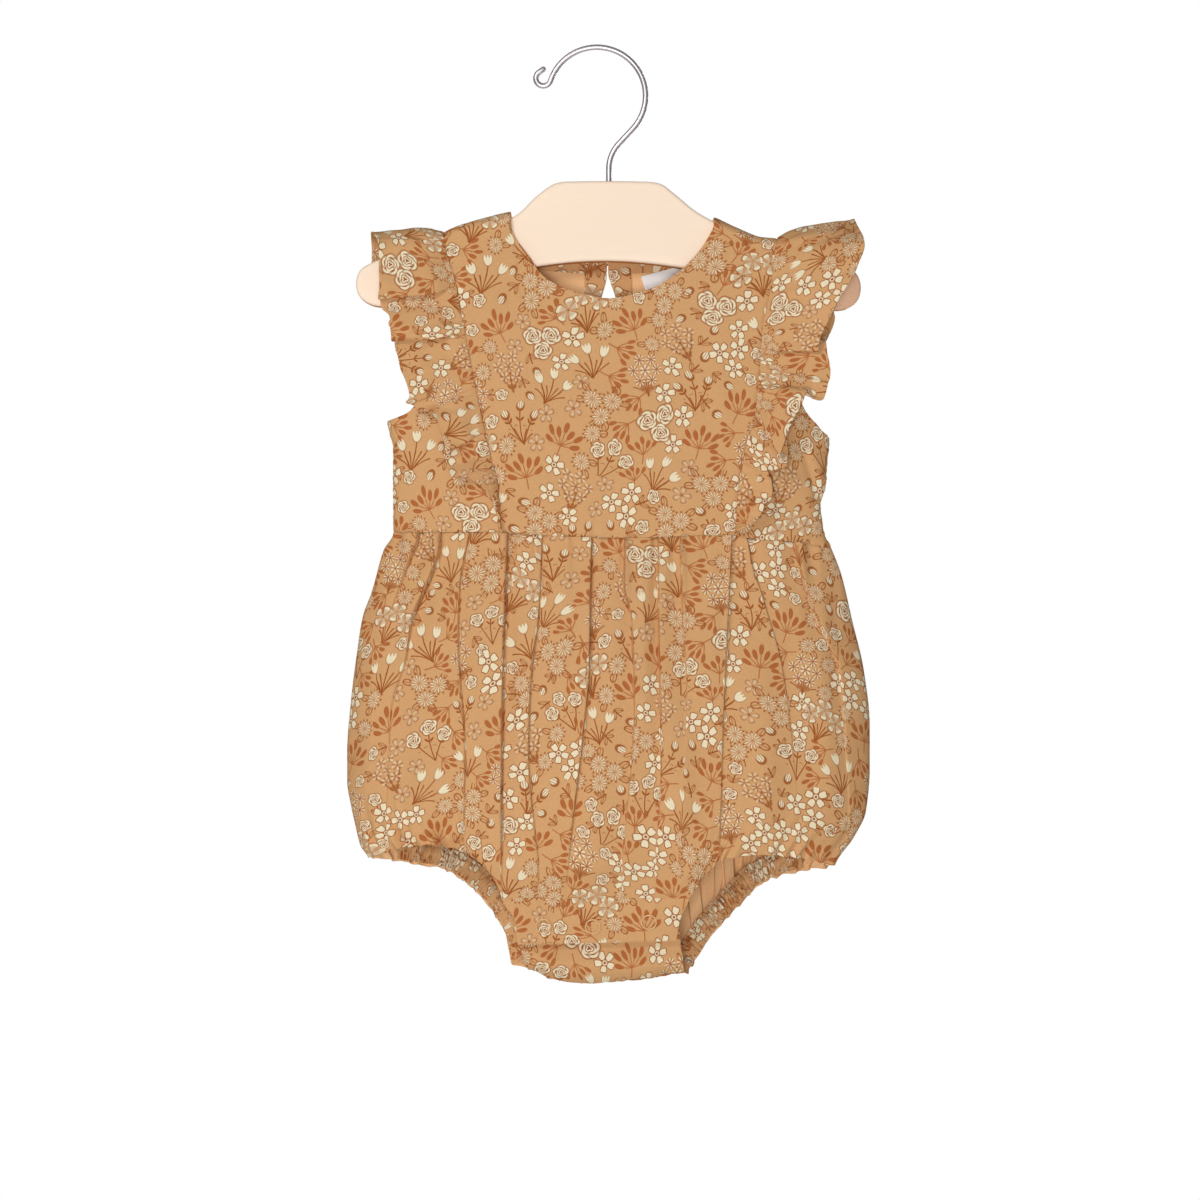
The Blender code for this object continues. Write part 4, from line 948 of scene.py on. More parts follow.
def wall(name, outer, inner, cut, keep=None, finishes=None, stitched=None):
    """Closed wall between two grids of points, over the cells that are kept.  The outer face and
    the rim take the first finish and the inner face the second.  stitched is how near each point
    is to a line of stitches: 1 on it, 0 away from it."""
    rows, columns = outer.shape[:2]
    count = rows * columns
    keep = np.ones((rows - 1, columns - 1), bool) if keep is None else keep
    index = np.arange(count).reshape(rows, columns)
    quads = np.stack((index[:-1, :-1][keep], index[:-1, 1:][keep],
                      index[1:, 1:][keep], index[1:, :-1][keep]), 1)
    edges = np.concatenate([quads[:, [i, (i + 1) % 4]] for i in range(4)])
    alone = ~np.isin(edges[:, 0] * count + edges[:, 1], edges[:, 1] * count + edges[:, 0])
    start, end = edges[alone].T
    rim = np.stack((end, start, start + count, end + count), 1)
    bulge = np.unique(start)
    flat_outer, flat_inner = outer.reshape(-1, 3).copy(), inner.reshape(-1, 3).copy()
    middle = (flat_outer[bulge] + flat_inner[bulge]) / 2
    flat_outer[bulge] = middle + (flat_outer[bulge] - middle) * RIM_OUT
    flat_inner[bulge] = middle + (flat_inner[bulge] - middle) * RIM_OUT
    faces = np.concatenate((quads, quads[:, ::-1] + count, rim))
    pick = np.concatenate((np.zeros(len(quads)), np.ones(len(quads)), np.zeros(len(rim))))
    used, faces = np.unique(faces, return_inverse=True)
    points = np.concatenate((flat_outer, flat_inner))[used]
    cut = np.concatenate((cut.reshape(-1, 2), cut.reshape(-1, 2)))[used]
    thing = made(name, points, faces.reshape(-1, 4).tolist(), finishes or [right_side, lit_wrong_side],
                 pick, cut)
    if stitched is not None:
        near = np.tile(np.broadcast_to(stitched, (rows, columns)).ravel(), 2)[used]
        thing.data.attributes.new("stitched", "FLOAT", "POINT").data.foreach_set("value", near)
    return thing


def sewn(nodes, cut):
    """Hides the CAD nodes that a sheet of cloth stands for.  It works out the sheet's flat size and
    area from the places on the flat cloth that its points have, and does nothing more with them."""
    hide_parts(*nodes)
    size = np.ptp(cut.reshape(-1, 2), axis=0) * MM
    a, b, c, d = cut[:-1, :-1], cut[:-1, 1:], cut[1:, 1:], cut[1:, :-1]
    one, two = c - a, d - b
    area = np.abs(one[..., 0] * two[..., 1] - one[..., 1] * two[..., 0]).sum() / 2 * MM ** 2
    area = float(np.clip(area, .3 * size[0] * size[1], size[0] * size[1]))


def cloth(node, grid, side, out, cut, thick=COTTON, keep=None,
          finishes=None, stitched=None):
    """Cloth for a CAD node, on the body's surface but moved out along its normals."""
    surface, normal = body(grid, side)
    out = np.broadcast_to(out, grid.shape[:2])[..., None]
    outer = apart(surface + normal * out, side)
    inner = apart(surface + normal * (out - thick), side)
    thing = wall(f"{node}_cloth", outer, inner, cut, keep, finishes, stitched)
    sewn([node], cut)


def unrolled(grid, side):
    """Run along each row round the body, counted so that it equals x at the row's place nearest the
    middle: the cloth's own x where a panel turns towards its side."""
    x = grid[..., 0]
    step, rise = np.diff(x, axis=1), np.diff(depth(x, grid[..., 1], side), axis=1)
    run = np.cumsum(np.sign(step) * np.hypot(step, rise), 1)
    run = x[:, :1] + np.concatenate((np.zeros((len(x), 1)), run), 1)
    return run + np.take_along_axis(x - run, np.argmin(np.abs(x), 1)[:, None], 1)


def flat_cut(grid, shift=(0, 0), side=None):
    """Place on the flat cloth of a panel that hangs flat, or of one that goes round a side.  shift
    is how far along the printed cloth the panel is cut."""
    across = grid[..., 0] if side is None else unrolled(grid, side)
    return np.stack((across + shift[0], -grid[..., 1] + shift[1]), -1)


def across_edge(line, start, end):
    """Stretch of a line of (x, drop) from one x to another, as a function of a share."""
    def edge(share):
        """Points (x, drop) at shares of the stretch."""
        x = start + (end - start) * share
        return np.stack((x, smooth(line, 1, x)), -1)
    return edge


def between(start, end):
    """Straight edge from one point (x, drop) to another, as a function of a share."""
    start, end = np.asarray(start, float), np.asarray(end, float)
    return lambda share: start + (end - start) * share[..., None]


def down_edge(seam, top=None, bottom=None):
    """Stretch of a seam of (drop, x) from one drop to another, or the whole of it."""
    top, bottom = (seam[0][0], seam[-1][0]) if top is None else (top, bottom)

    def edge(share):
        """Points (x, drop) at shares of the stretch."""
        drop = top + (bottom - top) * share
        return np.stack((smooth(seam, 1, drop), drop), -1)
    return edge


def yoke_grid(neck, columns, rows):
    """Panel between the ruffle seams, from the neckline to the waist."""
    waist = across_edge(WAIST, LEFT_SEAM[-1][1], RIGHT_SEAM[-1][1])
    return patch(lambda share: along(neck, share), waist, down_edge(LEFT_SEAM),
                 down_edge(RIGHT_SEAM), *np.meshgrid(columns, rows))


def yoke_lift(grid, folds, seed):
    """Relief of a yoke: sunk seams, ripples drawn in by the stitching, and the folds listed for it."""
    x, drop = grid[..., 0], grid[..., 1]
    waist, left, right = (away(grid, edge) for edge in ("bottom", "left", "right"))
    lift = sunk(grid, ("bottom", "left", "right")) + soft_folds(grid, folds)
    lift += puckers(x, waist, YOKE_PUCKERS[0], seed)
    lift += puckers(drop, np.minimum(left, right), YOKE_PUCKERS[1], seed + 1)
    return lift + .22 * rumple(x, drop, 34, seed + 2) * np.clip((drop - 100) / 40, 0, 1)


grid = yoke_grid(FRONT_NECK, shares(*YOKE_COLUMNS), shares(*YOKE_ROWS))
grid = draw_in(grid, ("bottom", "left", "right"))
cloth("front_yoke", grid, -1, yoke_lift(grid, YOKE_FOLDS, 11), flat_cut(grid, side=-1))


# ---- back yoke ---------------------------------------------------------------------------------
# The back of the bodice, slit down the middle for the keyhole.
BACK_NECK = ((0, -80, 95), (.06, -74, 92), (.14, -54, 86), (.18, -45, 84), (.21, -45, 89),
             (.26, -35, 98), (.36, -19, 101), (.5, 5.7, 102), (.64, 33, 101), (.72, 50, 98),
             (.78, 60, 92), (.81, 61, 87), (.86, 72, 92), (.94, 85, 97), (1, 94, 98))
KEYHOLE = ((101, .1), (115.5, .2), (129, 3.9), (141, 5.4), (150, 4.2), (156, .4))  # drop, half width
KEYHOLE_LEAN = 0.035                     # how far the slit is turned back upright, per mm of drop
KEYHOLE_END = 156.0
SLIT_HALF = .0008                        # of the yoke's width, beside the keyhole
BACK_FOLDS = ((-44, 246, -30, 200, 6, .6), (56, 246, 40, 190, 6, .6), (-10, 250, 0, 200, 6, .5),
              (24, 250, 14, 205, 6, .5), (-58, 118, -46, 165, 7, .5), (74, 118, 62, 165, 7, .5))


def opened(grid, across):
    """Moves a grid's columns off the keyhole, half its width each way beside it."""
    moved = grid.copy()
    half = smooth(KEYHOLE, 1, grid[..., 1])
    lean = KEYHOLE_LEAN * (grid[..., 1] - neck_drop)
    moved[..., 0] += (np.sign(across - .5) * half - lean) * (1 - np.abs(2 * across - 1)) ** 2
    return moved


left_columns = shares((0, .18, 18), (.18, .26, 12), (.26, .5 - SLIT_HALF, 36))
columns = np.append(left_columns, shares((.5 + SLIT_HALF, .74, 36), (.74, .81, 11), (.81, 1, 18)))
neck_drop, waist_drop = BACK_NECK[len(BACK_NECK) // 2][2], WAIST[3][1]
foot = (KEYHOLE_END - neck_drop) / (waist_drop - neck_drop)
rows = shares((0, .04, 10), (.04, foot, 40), (foot, 1, 72))
grid = yoke_grid(BACK_NECK, columns, rows)
keep = np.ones((len(rows) - 1, len(columns) - 1), bool)
keep[rows[:-1] < foot - 1e-6, len(left_columns) - 1] = False
grid = draw_in(opened(grid, columns), ("bottom", "left", "right"))
cloth("back_yoke", grid, 1, yoke_lift(grid, BACK_FOLDS, 21), flat_cut(grid, (400, 60), 1),
      keep=keep)


# ---- side panels -------------------------------------------------------------------------------
# Narrow panels from the ruffle seams to the side seams, front and back, with the armholes cut in
# their outer edges and turned in.
LEFT_ARMHOLE = ((0, -86, 97), (.22, -86, 130), (.39, -86, 156), (.49, -88, 172), (.56, -92, 182),
                (.60, -98, 189), (.63, -109, 193))                            # share, x, drop
RIGHT_ARMHOLE = ((0, 100, 99), (.2, 100, 130), (.37, 100, 156), (.48, 102, 174), (.57, 108, 188),
                 (.62, 114, 195), (.67, 121, 202))
SIDE_FOLDS = {"left": ((-104, 200, -70, 214, 4, .7), (-100, 246, -66, 222, 5, .6),
                       (-90, 190, -74, 240, 5, .5)),
              "right": ((103, 198, 117, 238, 2.2, -1.3), (106, 196, 120, 232, 3.2, 1.0),
                        (84, 240, 108, 214, 5, .6), (90, 250, 112, 240, 4, .5))}
# Puckers beside the waist and beside the armhole: height, pitch, reach
SIDE_PUCKERS = ((.3, 6, 7), (.25, 4.5, 3))


def down_armhole(armhole, silhouette, waist_drop):
    """Armhole and then the side seam, as a function of a share."""
    corner, corner_drop = armhole[-1][0], armhole[-1][2]

    def edge(share):
        """Points (x, drop) at shares of the way down."""
        drop = corner_drop + (waist_drop - corner_drop) * (share - corner) / (1 - corner)
        seam = np.stack((smooth(silhouette, 1, drop), drop), -1)
        return np.where((share > corner)[..., None], seam, along(armhole, share))
    return edge


for word, armhole, silhouette, seam, waist_end in (
        ("left", LEFT_ARMHOLE, LEFT_SIDE, LEFT_SEAM, WAIST[0]),
        ("right", RIGHT_ARMHOLE, RIGHT_SIDE, RIGHT_SEAM, WAIST[-1])):
    shoulder = between(armhole[0][1:], (seam[0][1], seam[0][0]))
    corner = armhole[-1][0]
    across, down = np.meshgrid(shares((0, .1, 5), (.1, 1, 30)),
                               shares((0, .04, 6), (.04, corner, 50), (corner, 1, 36)))
    grid = patch(shoulder, across_edge(WAIST, waist_end[0], seam[-1][1]),
                 down_armhole(armhole, silhouette, waist_end[1]), down_edge(seam), across, down)
    grid = draw_in(grid, ("bottom", "right"))
    x, drop = grid[..., 0], grid[..., 1]
    waist, outside = away(grid, "bottom"), away(grid, "left")
    for side, face, seed in ((-1, "front", 31), (1, "back", 41)):
        lift = sunk(grid, ("bottom", "right")) + soft_folds(grid, SIDE_FOLDS[word])
        lift += puckers(x, waist, SIDE_PUCKERS[0], seed)
        lift += puckers(drop, outside, SIDE_PUCKERS[1], seed + 1)
        lift += .25 * rumple(x, drop, 26, seed + 2) * np.clip(outside / 8, 0, 1)
        cloth(f"{face}_side_{word}", grid, side, lift, flat_cut(grid, (-37 * side, 91), side))


# ---- ruffles -----------------------------------------------------------------------------------
# Two straight strips, each hemmed on one long edge and gathered along the other into the seam beside
# the yoke.  They run over the shoulders from the front waist to the back and stand up in waves.
RUFFLE_CLOTH, RUFFLE_HEM = 0.7, 1.15     # thickness of one layer, and of the turned hem
HEM_SHARE = .94                          # of the way out, where the hem's stitching runs
LAYER_GAP = 0.35
RUFFLE_ROLL = 0.7                        # how far a ruffle stands up beside its seam
SHOULDER_PUFF, PUFF_HALF = 3.0, .12      # how much more over the shoulder, and on what share
RUFFLE_SOLID = 1.0                       # thickness that its clearances are worked out with
RUFFLE_START = 0.35                      # height of its root over the cloth beside it
RUFFLE_GATHER_PITCH = 4.2
FOLD_HALF = .0125                        # half of a fold's width, as a share of the strip
FOLD_SHARPNESS = 3.4                     # how abruptly a fold turns back
FOLD_OPENS = .3                          # of the way out, over which a fold grows to its full size
WAVE_PITCH = 13                          # of its slow waves
GATHER_LEAST, GATHER_MORE = .15, .45     # height of its gathers: at the shoulder, added at the waist
GATHER_RUN, GATHER_RUN_MORE = 4, 7       # how far out they run, in the same way
WAVE_LEAST, WAVE_MORE = .15, .55         # height of its slow waves, in the same way
RUFFLE_CRUMPLE, RUFFLE_CRUMPLE_HIGH = 11, .2     # size and height of its unevenness
STITCH_DIP = .12                         # how deep the hem's stitching sinks in
STITCH_SHARE, STITCH_HALF = .01, .55     # half width of that line: of the way out, and in mm
RUFFLE_CUT, RUFFLE_CUT_STEP = 700, 9     # place on the printed cloth, and what its seed adds

# Free edges, from the front waist over the shoulder to the back: share, x, drop, y
LEFT_RUFFLE = ((0, -50, 249, -17.5), (.02, -50.5, 244.4, -18), (.045, -52.5, 237, -19),
               (.07, -55.6, 231, -19), (.085, -60, 226.5, -20), (.1, -67, 223.4, -21),
               (.112, -73.8, 221.5, -21.5), (.125, -76.6, 217.4, -19), (.14, -78, 213, -18),
               (.155, -78.6, 210.5, -19.5), (.168, -78, 206.4, -20), (.185, -80, 199.2, -21),
               (.2, -81.6, 195, -21), (.213, -82.7, 189.5, -19), (.222, -86.8, 189.2, -18.5),
               (.232, -92, 187.9, -18), (.243, -97, 185.6, -18.5), (.25, -98.3, 183, -19),
               (.257, -96.4, 181, -18.5), (.275, -98.3, 173.5, -18), (.29, -101, 167, -18),
               (.306, -102.6, 160.5, -18), (.324, -105.2, 152.5, -17.5), (.336, -105.8, 147, -16.5),
               (.345, -107.3, 143.5, -16.5), (.352, -106.2, 140.8, -16.5), (.362, -107.9, 138, -17),
               (.378, -110.7, 135.6, -17.5), (.397, -111.9, 131, -18), (.409, -112.6, 126.9, -16.5),
               (.416, -111.9, 124.8, -16), (.43, -112, 120.5, -16), (.46, -112.3, 108, -15),
               (.48, -113, 100, -13), (.49, -115.6, 96.4, -6), (.5, -117.6, 95, 0),
               (.513, -118, 98, 10), (.54, -118, 110, 16), (.56, -115, 121, 20),
               (.585, -109, 130, 15), (.61, -109, 139, 20), (.64, -106, 150, 23),
               (.67, -100, 158, 16), (.7, -100, 168, 21), (.74, -96, 181, 22),
               (.77, -88, 188, 16), (.8, -86, 196, 21), (.84, -78, 209, 22),
               (.87, -70, 216, 17), (.91, -63, 227, 21), (.95, -55, 238, 19), (1, -50, 249, 17.5))
RIGHT_RUFFLE = ((0, 72, 250, -17.5), (.02, 80, 246.4, -19), (.04, 84.5, 241, -20),
                (.055, 87, 237, -20.5), (.07, 89.6, 233, -20.5), (.085, 90.2, 228.5, -20),
                (.108, 89.4, 223.5, -19), (.122, 87.9, 218.4, -17.5), (.132, 87, 215.5, -17),
                (.142, 90, 219.3, -19.5), (.152, 94, 219.6, -20.5), (.162, 97, 217.4, -20),
                (.172, 98.4, 213.5, -18), (.184, 98.4, 207, -17), (.194, 97, 204.5, -18),
                (.202, 93.5, 210.3, -21.5), (.21, 95.5, 206, -22), (.222, 99, 198, -22.5),
                (.236, 103.5, 188.5, -23), (.246, 107.5, 179, -22), (.252, 109.5, 177.5, -19),
                (.258, 112, 182, -16), (.265, 116, 182.6, -15), (.272, 118.4, 180.5, -15),
                (.28, 119.5, 173.5, -15.5), (.288, 120.4, 166.4, -16), (.296, 119, 160, -16),
                (.303, 118, 155, -15), (.31, 113.6, 157, -13.5), (.32, 114.6, 152.5, -14.5),
                (.34, 118.3, 144, -18.5), (.37, 124, 132, -23.5), (.398, 130, 122, -26.5),
                (.425, 134.5, 112, -26), (.447, 137.3, 103.5, -23.5), (.466, 137, 99, -19.5),
                (.483, 135.2, 93.5, -10), (.5, 133.8, 88, 0), (.513, 134, 93, 10),
                (.54, 133, 106, 17), (.565, 129, 118, 21), (.59, 122, 128, 15), (.61, 125, 137, 20),
                (.64, 121, 149, 23), (.67, 112, 157, 16), (.7, 113, 168, 21), (.74, 108, 181, 23),
                (.77, 99, 189, 17), (.8, 99, 199, 21), (.84, 92, 212, 22), (.87, 85, 218, 17),
                (.91, 83, 230, 21), (.95, 77, 241, 19), (1, 72, 250, 17.5))

# Where a ruffle is folded over on itself: share, overlap, depth, where across it the fold begins
RUFFLE_FOLDS = {
    "left": ((.404, 4.4, 2.8, .0), (.327, 4.2, 2.6, .02), (.245, 1.2, .8, .45), (.162, 2.5, 1.2, .2),
             (.108, 1.9, 1.0, .3), (.062, 1.2, .8, .3), (.585, 2.2, 1.2, .1), (.67, 2.4, 1.2, .2),
             (.77, 2.2, 1.2, .2), (.87, 2.0, 1.1, .25)),
    "right": ((.311, 3.0, 2.8, .0), (.28, 2.2, 1.6, .0), (.236, 1.2, .7, .35), (.2, 1.6, 1.0, .15),
              (.157, 1.5, .9, .3), (.108, 1.3, .8, .3), (.59, 2.3, 1.2, .1), (.67, 2.3, 1.2, .2),
              (.77, 2.2, 1.2, .2), (.87, 2.0, 1.1, .25))}


def ruffle_surface(seam, table, folds, share, across):
    """Middle surface of a ruffle: from the seam, over the shoulder, out to its free edge.  It
    leaves the seam in a low roll, runs straight to the edge, and laps over itself at its folds,
    where the part nearer the shoulder lies on top."""
    half_way = np.abs(2 * share - 1)                    # 0 on the shoulder, 1 at the waist
    drop = seam[0][0] + (seam[-1][0] - 1.5 - seam[0][0]) * half_way
    side = np.where(share < .5, -1.0, 1.0)
    root = np.stack((smooth(seam, 1, drop), drop), -1)
    surface, normal = np.empty(share.shape + (3,)), np.empty(share.shape + (3,))
    for way in (-1, 1):
        here = side == way
        surface[here], normal[here] = body(root[here], way)
    on_top = np.abs(share - .5) < 1e-6
    normal[on_top] = (0, 0, 1)
    surface[on_top, 1] = 0
    start = surface + normal * RUFFLE_START
    edge = np.stack((smooth(table, 1, share), smooth(table, 3, share),
                     -smooth(table, 2, share)), -1)
    t = across[:, None, None]
    roll = RUFFLE_ROLL + SHOULDER_PUFF * np.exp(-(half_way / PUFF_HALF) ** 2)[:, None]
    grid = start * (1 - t) + edge * t + normal * roll * np.sin(math.pi * t) * (1 - t)
    for at, overlap, deep, begins in folds:
        place = (abs(at - .5) - np.abs(share - .5)) / FOLD_HALF
        place = np.where((share < .5) == (at < .5), place, 9.0)
        full = eased(np.clip((across[:, None] - begins) / FOLD_OPENS, 0, 1))
        lap = np.where(np.abs(place) < 1, np.sin(math.pi * place), 0)
        grid[..., 2] -= overlap * lap * full
        grid[..., 1] += side * deep * np.tanh(FOLD_SHARPNESS * place) * np.exp(-(place / 4) ** 2) * full
    reach = np.linalg.norm(grid - grid[:1], axis=-1)
    clear = RUFFLE_START + (LAYER_GAP * 2 + RUFFLE_SOLID / 2 - RUFFLE_START) * np.clip(
        reach / 3, 0, 1)
    for way in (-1, 1):
        here = side == way
        x, low = grid[:, here, 0], -grid[:, here, 2]
        least_depth = depth(x, low, way) + clear[:, here]
        over_hanger = np.clip((low - smooth(SHOULDER, 1, x)) / SHOULDER_ROLL, 0, 1)
        least_depth = np.maximum(least_depth,
                                 over_hanger * (HANGER_THICK / 2 + clear[:, here] + SEAM_GAP))
        grid[:, here, 1] = way * np.maximum(way * grid[:, here, 1], least_depth)
    return grid


def normals(grid):
    """Unit normals of a grid of points."""
    run, rise = np.gradient(grid, axis=1), np.gradient(grid, axis=0)
    normal = np.cross(run, rise)
    return normal / np.linalg.norm(normal, axis=-1, keepdims=True)


share = np.sort(np.concatenate((shares((0, .47, 360), (.47, .53, 40), (.53, 1, 240)), (.5,))))
share = share[np.concatenate(([True], np.diff(share) > 1e-6))]
for word, seam, table, seed in (("left", LEFT_SEAM, LEFT_RUFFLE, 51),
                                ("right", RIGHT_SEAM, RIGHT_RUFFLE, 61)):
    across = shares((0, .1, 5), (.1, .92, 23), (.92, .98, 6), (.98, 1, 2))
    grid = ruffle_surface(seam, table, RUFFLE_FOLDS[word], share, across)
    run = run_along(grid[len(across) * 2 // 3])
    reach = np.concatenate((np.zeros((1, len(share))), np.cumsum(
        np.linalg.norm(np.diff(grid, axis=0), axis=-1), 0)))
    low = np.abs(2 * share - 1)
    gathers = ripple(run, RUFFLE_GATHER_PITCH, seed) * np.exp(
        -reach / (GATHER_RUN + GATHER_RUN_MORE * low))
    lift = (GATHER_LEAST + GATHER_MORE * low * low) * gathers * np.clip(reach / 2 + .3, 0, 1)
    lift += ((WAVE_LEAST + WAVE_MORE * low * low) * ripple(run, WAVE_PITCH, seed + 1)
             * np.clip(reach / 12, 0, 1))
    lift += (RUFFLE_CRUMPLE_HIGH * rumple(run, reach, RUFFLE_CRUMPLE, seed + 2)
             * np.clip(reach / 6, 0, 1))
    lift *= np.clip(np.minimum(share, 1 - share) * 30, 0, 1)
    lift -= STITCH_DIP * np.exp(-((across[:, None] - HEM_SHARE) / STITCH_SHARE) ** 2)
    front = np.sign(normals(grid)[len(across) // 2, len(share) // 5, 1])
    grid = grid - front * normals(grid) * lift[..., None]
    normal = normals(grid) * front
    turned_in = np.clip((across - HEM_SHARE) / STITCH_SHARE, 0, 1)[:, None, None]
    thick = RUFFLE_CLOTH + (RUFFLE_HEM - RUFFLE_CLOTH) * turned_in
    cut = np.stack((np.broadcast_to(run, reach.shape) + RUFFLE_CUT + seed * RUFFLE_CUT_STEP,
                    -reach), -1)
    name = f"ruffle_{word}"
    stitches = reach[np.argmin(np.abs(across - HEM_SHARE))]
    near = np.clip(1 - np.abs(reach - stitches) / STITCH_HALF, 0, 1)
    thing = wall(f"{name}_cloth", grid - normal * RUFFLE_CLOTH / 2,
                 grid + normal * (thick - RUFFLE_CLOTH / 2), cut, finishes=[right_side] * 2,
                 stitched=near)
    sewn([name], cut)


# ---- skirt -------------------------------------------------------------------------------------
# Front and back of the bubble skirt.  Each is gathered into the waist in uneven pleats that lie over
# each other, and drawn up again by elastic at the legs.
LEG_FRONT_LEFT = ((0, -119, 420), (.22, -97, 413), (.35, -85, 412), (.47, -73, 414),
                  (.57, -65, 417), (.69, -57, 424), (.82, -52, 432), (1, -49, 439.5))
LEG_FRONT_RIGHT = ((0, 124, 424), (.2, 98, 418), (.33, 85, 417), (.47, 72, 418), (.58, 62, 421),
                   (.66, 58, 425), (.83, 51, 434), (1, 48, 439.5))
LEG_BACK_LEFT = ((0, -119, 420), (.2, -97, 424), (.33, -82, 427), (.47, -70, 434), (.62, -59, 444),
                 (.74, -52, 454), (.86, -47.2, 463), (.95, -45.8, 471.5), (1, -44.8, 477.2))
LEG_BACK_RIGHT = ((0, 124, 424), (.25, 95, 431), (.37, 85, 436), (.5, 76, 445), (.64, 67, 454),
                  (.77, 59, 463), (.88, 54, 471), (1, 48, 479))
HEM_SHARES = {-1: (.33, .67), 1: (.35, .66)}     # where the leg edges end along the bottom
LEG_EDGES = {-1: (LEG_FRONT_LEFT, LEG_FRONT_RIGHT), 1: (LEG_BACK_LEFT, LEG_BACK_RIGHT)}
FLAP_LEFT = ((0, -40, 442), (.6, -39, 464), (.85, -38, 473), (1, -35.5, 478))
FLAP_RIGHT = ((0, 41, 442), (.5, 43, 460), (1, 45.5, 480))

# Creases: rows of drop, x, height of the step, depth of the slit beside it, half width.  The cloth
# stands proud on the left of a crease with a positive height.
FRONT_CREASES = (
    ((255, -92.6, 1.6, 1.3, 8), (270, -98.5, 1.2, 1, 7), (281, -103, .6, .3, 7), (310, -111, .4, 0, 8),
     (385, -117, 0, 0, 8)),
    ((252, -81, 1.2, .7, 8), (260, -81.4, 2, 1.6, 8), (275, -86.6, 2, 1.8, 8), (297, -95.7, 1.6, 1, 8),
     (314, -97.8, 1.1, .3, 8), (343, -105.6, .5, 0, 9), (400, -108, .3, 0, 9)),
    ((252, -66, .9, .5, 6), (281, -70.7, 1, .2, 7), (304, -71.2, 1.1, .2, 7), (364, -67.6, .9, .1, 9),
     (408, -68, .5, 0, 9)),
    ((252, -46, 1.7, 1.4, 9), (279, -46.8, 2, 1.7, 9), (303, -47.6, 2, 1.8, 9),
     (352, -48.4, 1.9, 2, 9), (414, -48.9, 1.5, 1.7, 8), (436, -49, .5, .3, 6)),
    ((252, -28, .8, .5, 6), (290, -29.6, 1, .2, 7), (333, -34, 1.1, .1, 9), (364, -34.8, .9, 0, 10),
     (420, -30, .6, 0, 10)),
    ((253, -2.6, 1.5, 1.4, 8), (277, -3.1, 1.9, 1.6, 8), (321, -3.8, 1.8, 1.2, 9),
     (358, -7.3, 1.4, .5, 9), (398, -12, 1, .3, 9), (436, -16, .3, 0, 8)),
    ((253, 14.6, -1.6, 1.3, 7), (279, 14.3, -1.6, 1.2, 7), (295, 17.7, -1.2, .2, 8),
     (340, 19.2, -1, 0, 9), (418, 13, -.6, 0, 9)),
    ((253, 31.7, -1.5, 1.1, 7), (280, 31.7, -1.6, 1, 7), (327, 32.2, -1.3, .6, 8),
     (369, 32.8, -.8, .1, 9), (420, 30, -.4, 0, 9)),
    ((253, 43.2, -1.4, 1, 6), (276, 43.7, -1.2, .8, 6), (299, 44.2, -.8, .3, 7), (330, 46, -.5, 0, 8),
     (410, 42, -.3, 0, 8)),
    ((252, 69.7, 1.7, 1.2, 8), (280, 68.4, 1.7, 1, 8), (304, 67.1, 1.5, .6, 9), (340, 65.2, 1, .2, 9),
     (410, 63, .5, 0, 9)),
    ((254, 77.7, 1.2, 1.1, 6), (269, 80.6, 1.2, .9, 6), (286, 86.1, .8, .2, 7), (330, 97, .4, 0, 8),
     (400, 104, 0, 0, 8)),
    ((256, 102.4, -1.3, 1, 7), (271, 105.6, -1.3, .8, 7), (299, 115, -1.1, .3, 8),
     (322, 125, -.6, 0, 8), (390, 130, -.2, 0, 8)))
BACK_CREASES = (
    ((252, -90, -1.3, 1, 7), (300, -99, -1, .5, 8), (400, -108, -.3, 0, 9)),
    ((252, -72, 1.6, 1.3, 8), (300, -76, 1.5, 1, 8), (400, -78, .6, 0, 9)),
    ((252, -52, -1.6, 1.2, 8), (310, -54, -1.5, .9, 8), (420, -50, -.8, 0, 9)),
    ((252, -30, 1.9, 1.6, 9), (320, -31, 1.8, 1.4, 9), (440, -28, 1, .3, 9)),
    ((253, -8, -1.3, 1, 7), (320, -9, -1.2, .6, 8), (440, -10, -.6, 0, 9)),
    ((253, 14, 1.9, 1.5, 9), (330, 14, 1.8, 1.2, 9), (440, 12, 1, .3, 9)),
    ((253, 36, -1.6, 1.2, 8), (320, 37, -1.5, .8, 8), (430, 36, -.7, 0, 9)),
    ((253, 58, 1.6, 1.2, 8), (310, 60, 1.3, .7, 8), (410, 62, .6, 0, 9)),
    ((254, 80, -1.5, 1.1, 8), (300, 86, -1.2, .5, 8), (400, 94, -.4, 0, 9)),
    ((256, 102, 1.3, 1, 7), (300, 112, 1, .4, 8), (390, 122, .3, 0, 8)))
LEG_GATHERS = ((48, 438, 1), (54.5, 434, -1), (67.5, 430, 1), (72.5, 428, -1), (77.5, 427, 1),
               (-74, 421, 1), (-67, 424, -1), (-60.5, 430, 1), (-55, 437, -1))   # x, drop, way
BACK_CREASES += tuple(
    ((drop - 26, x - 1, .01 * way, 0, 5), (drop - 8, x - .5, 1.3 * way, 1.2, 5),
     (drop + 4, x, 1.6 * way, 1.5, 5), (drop + 16, x + 1, .8 * way, .6, 5),
     (drop + 34, x + 2, .01 * way, 0, 5)) for x, drop, way in LEG_GATHERS)
CREASE_OFFSETS = np.array((-3.0, -1.9, -1.1, -.6, -.3, -.1, .1, .3, .6, 1.1, 1.9, 3.0))
COLUMN_STEP = 1.35
SKIRT_ROWS = shares((0, .06, 9), (.06, .86, 78), (.86, 1, 22))
HIDDEN = 4.5                             # cloth folded away each side of a full crease
SLIT, STEP = .7, 1.15                    # how much of a slit's depth and a step's height is seen
FOLD_RISE = 1.5                          # and of a soft fold's height
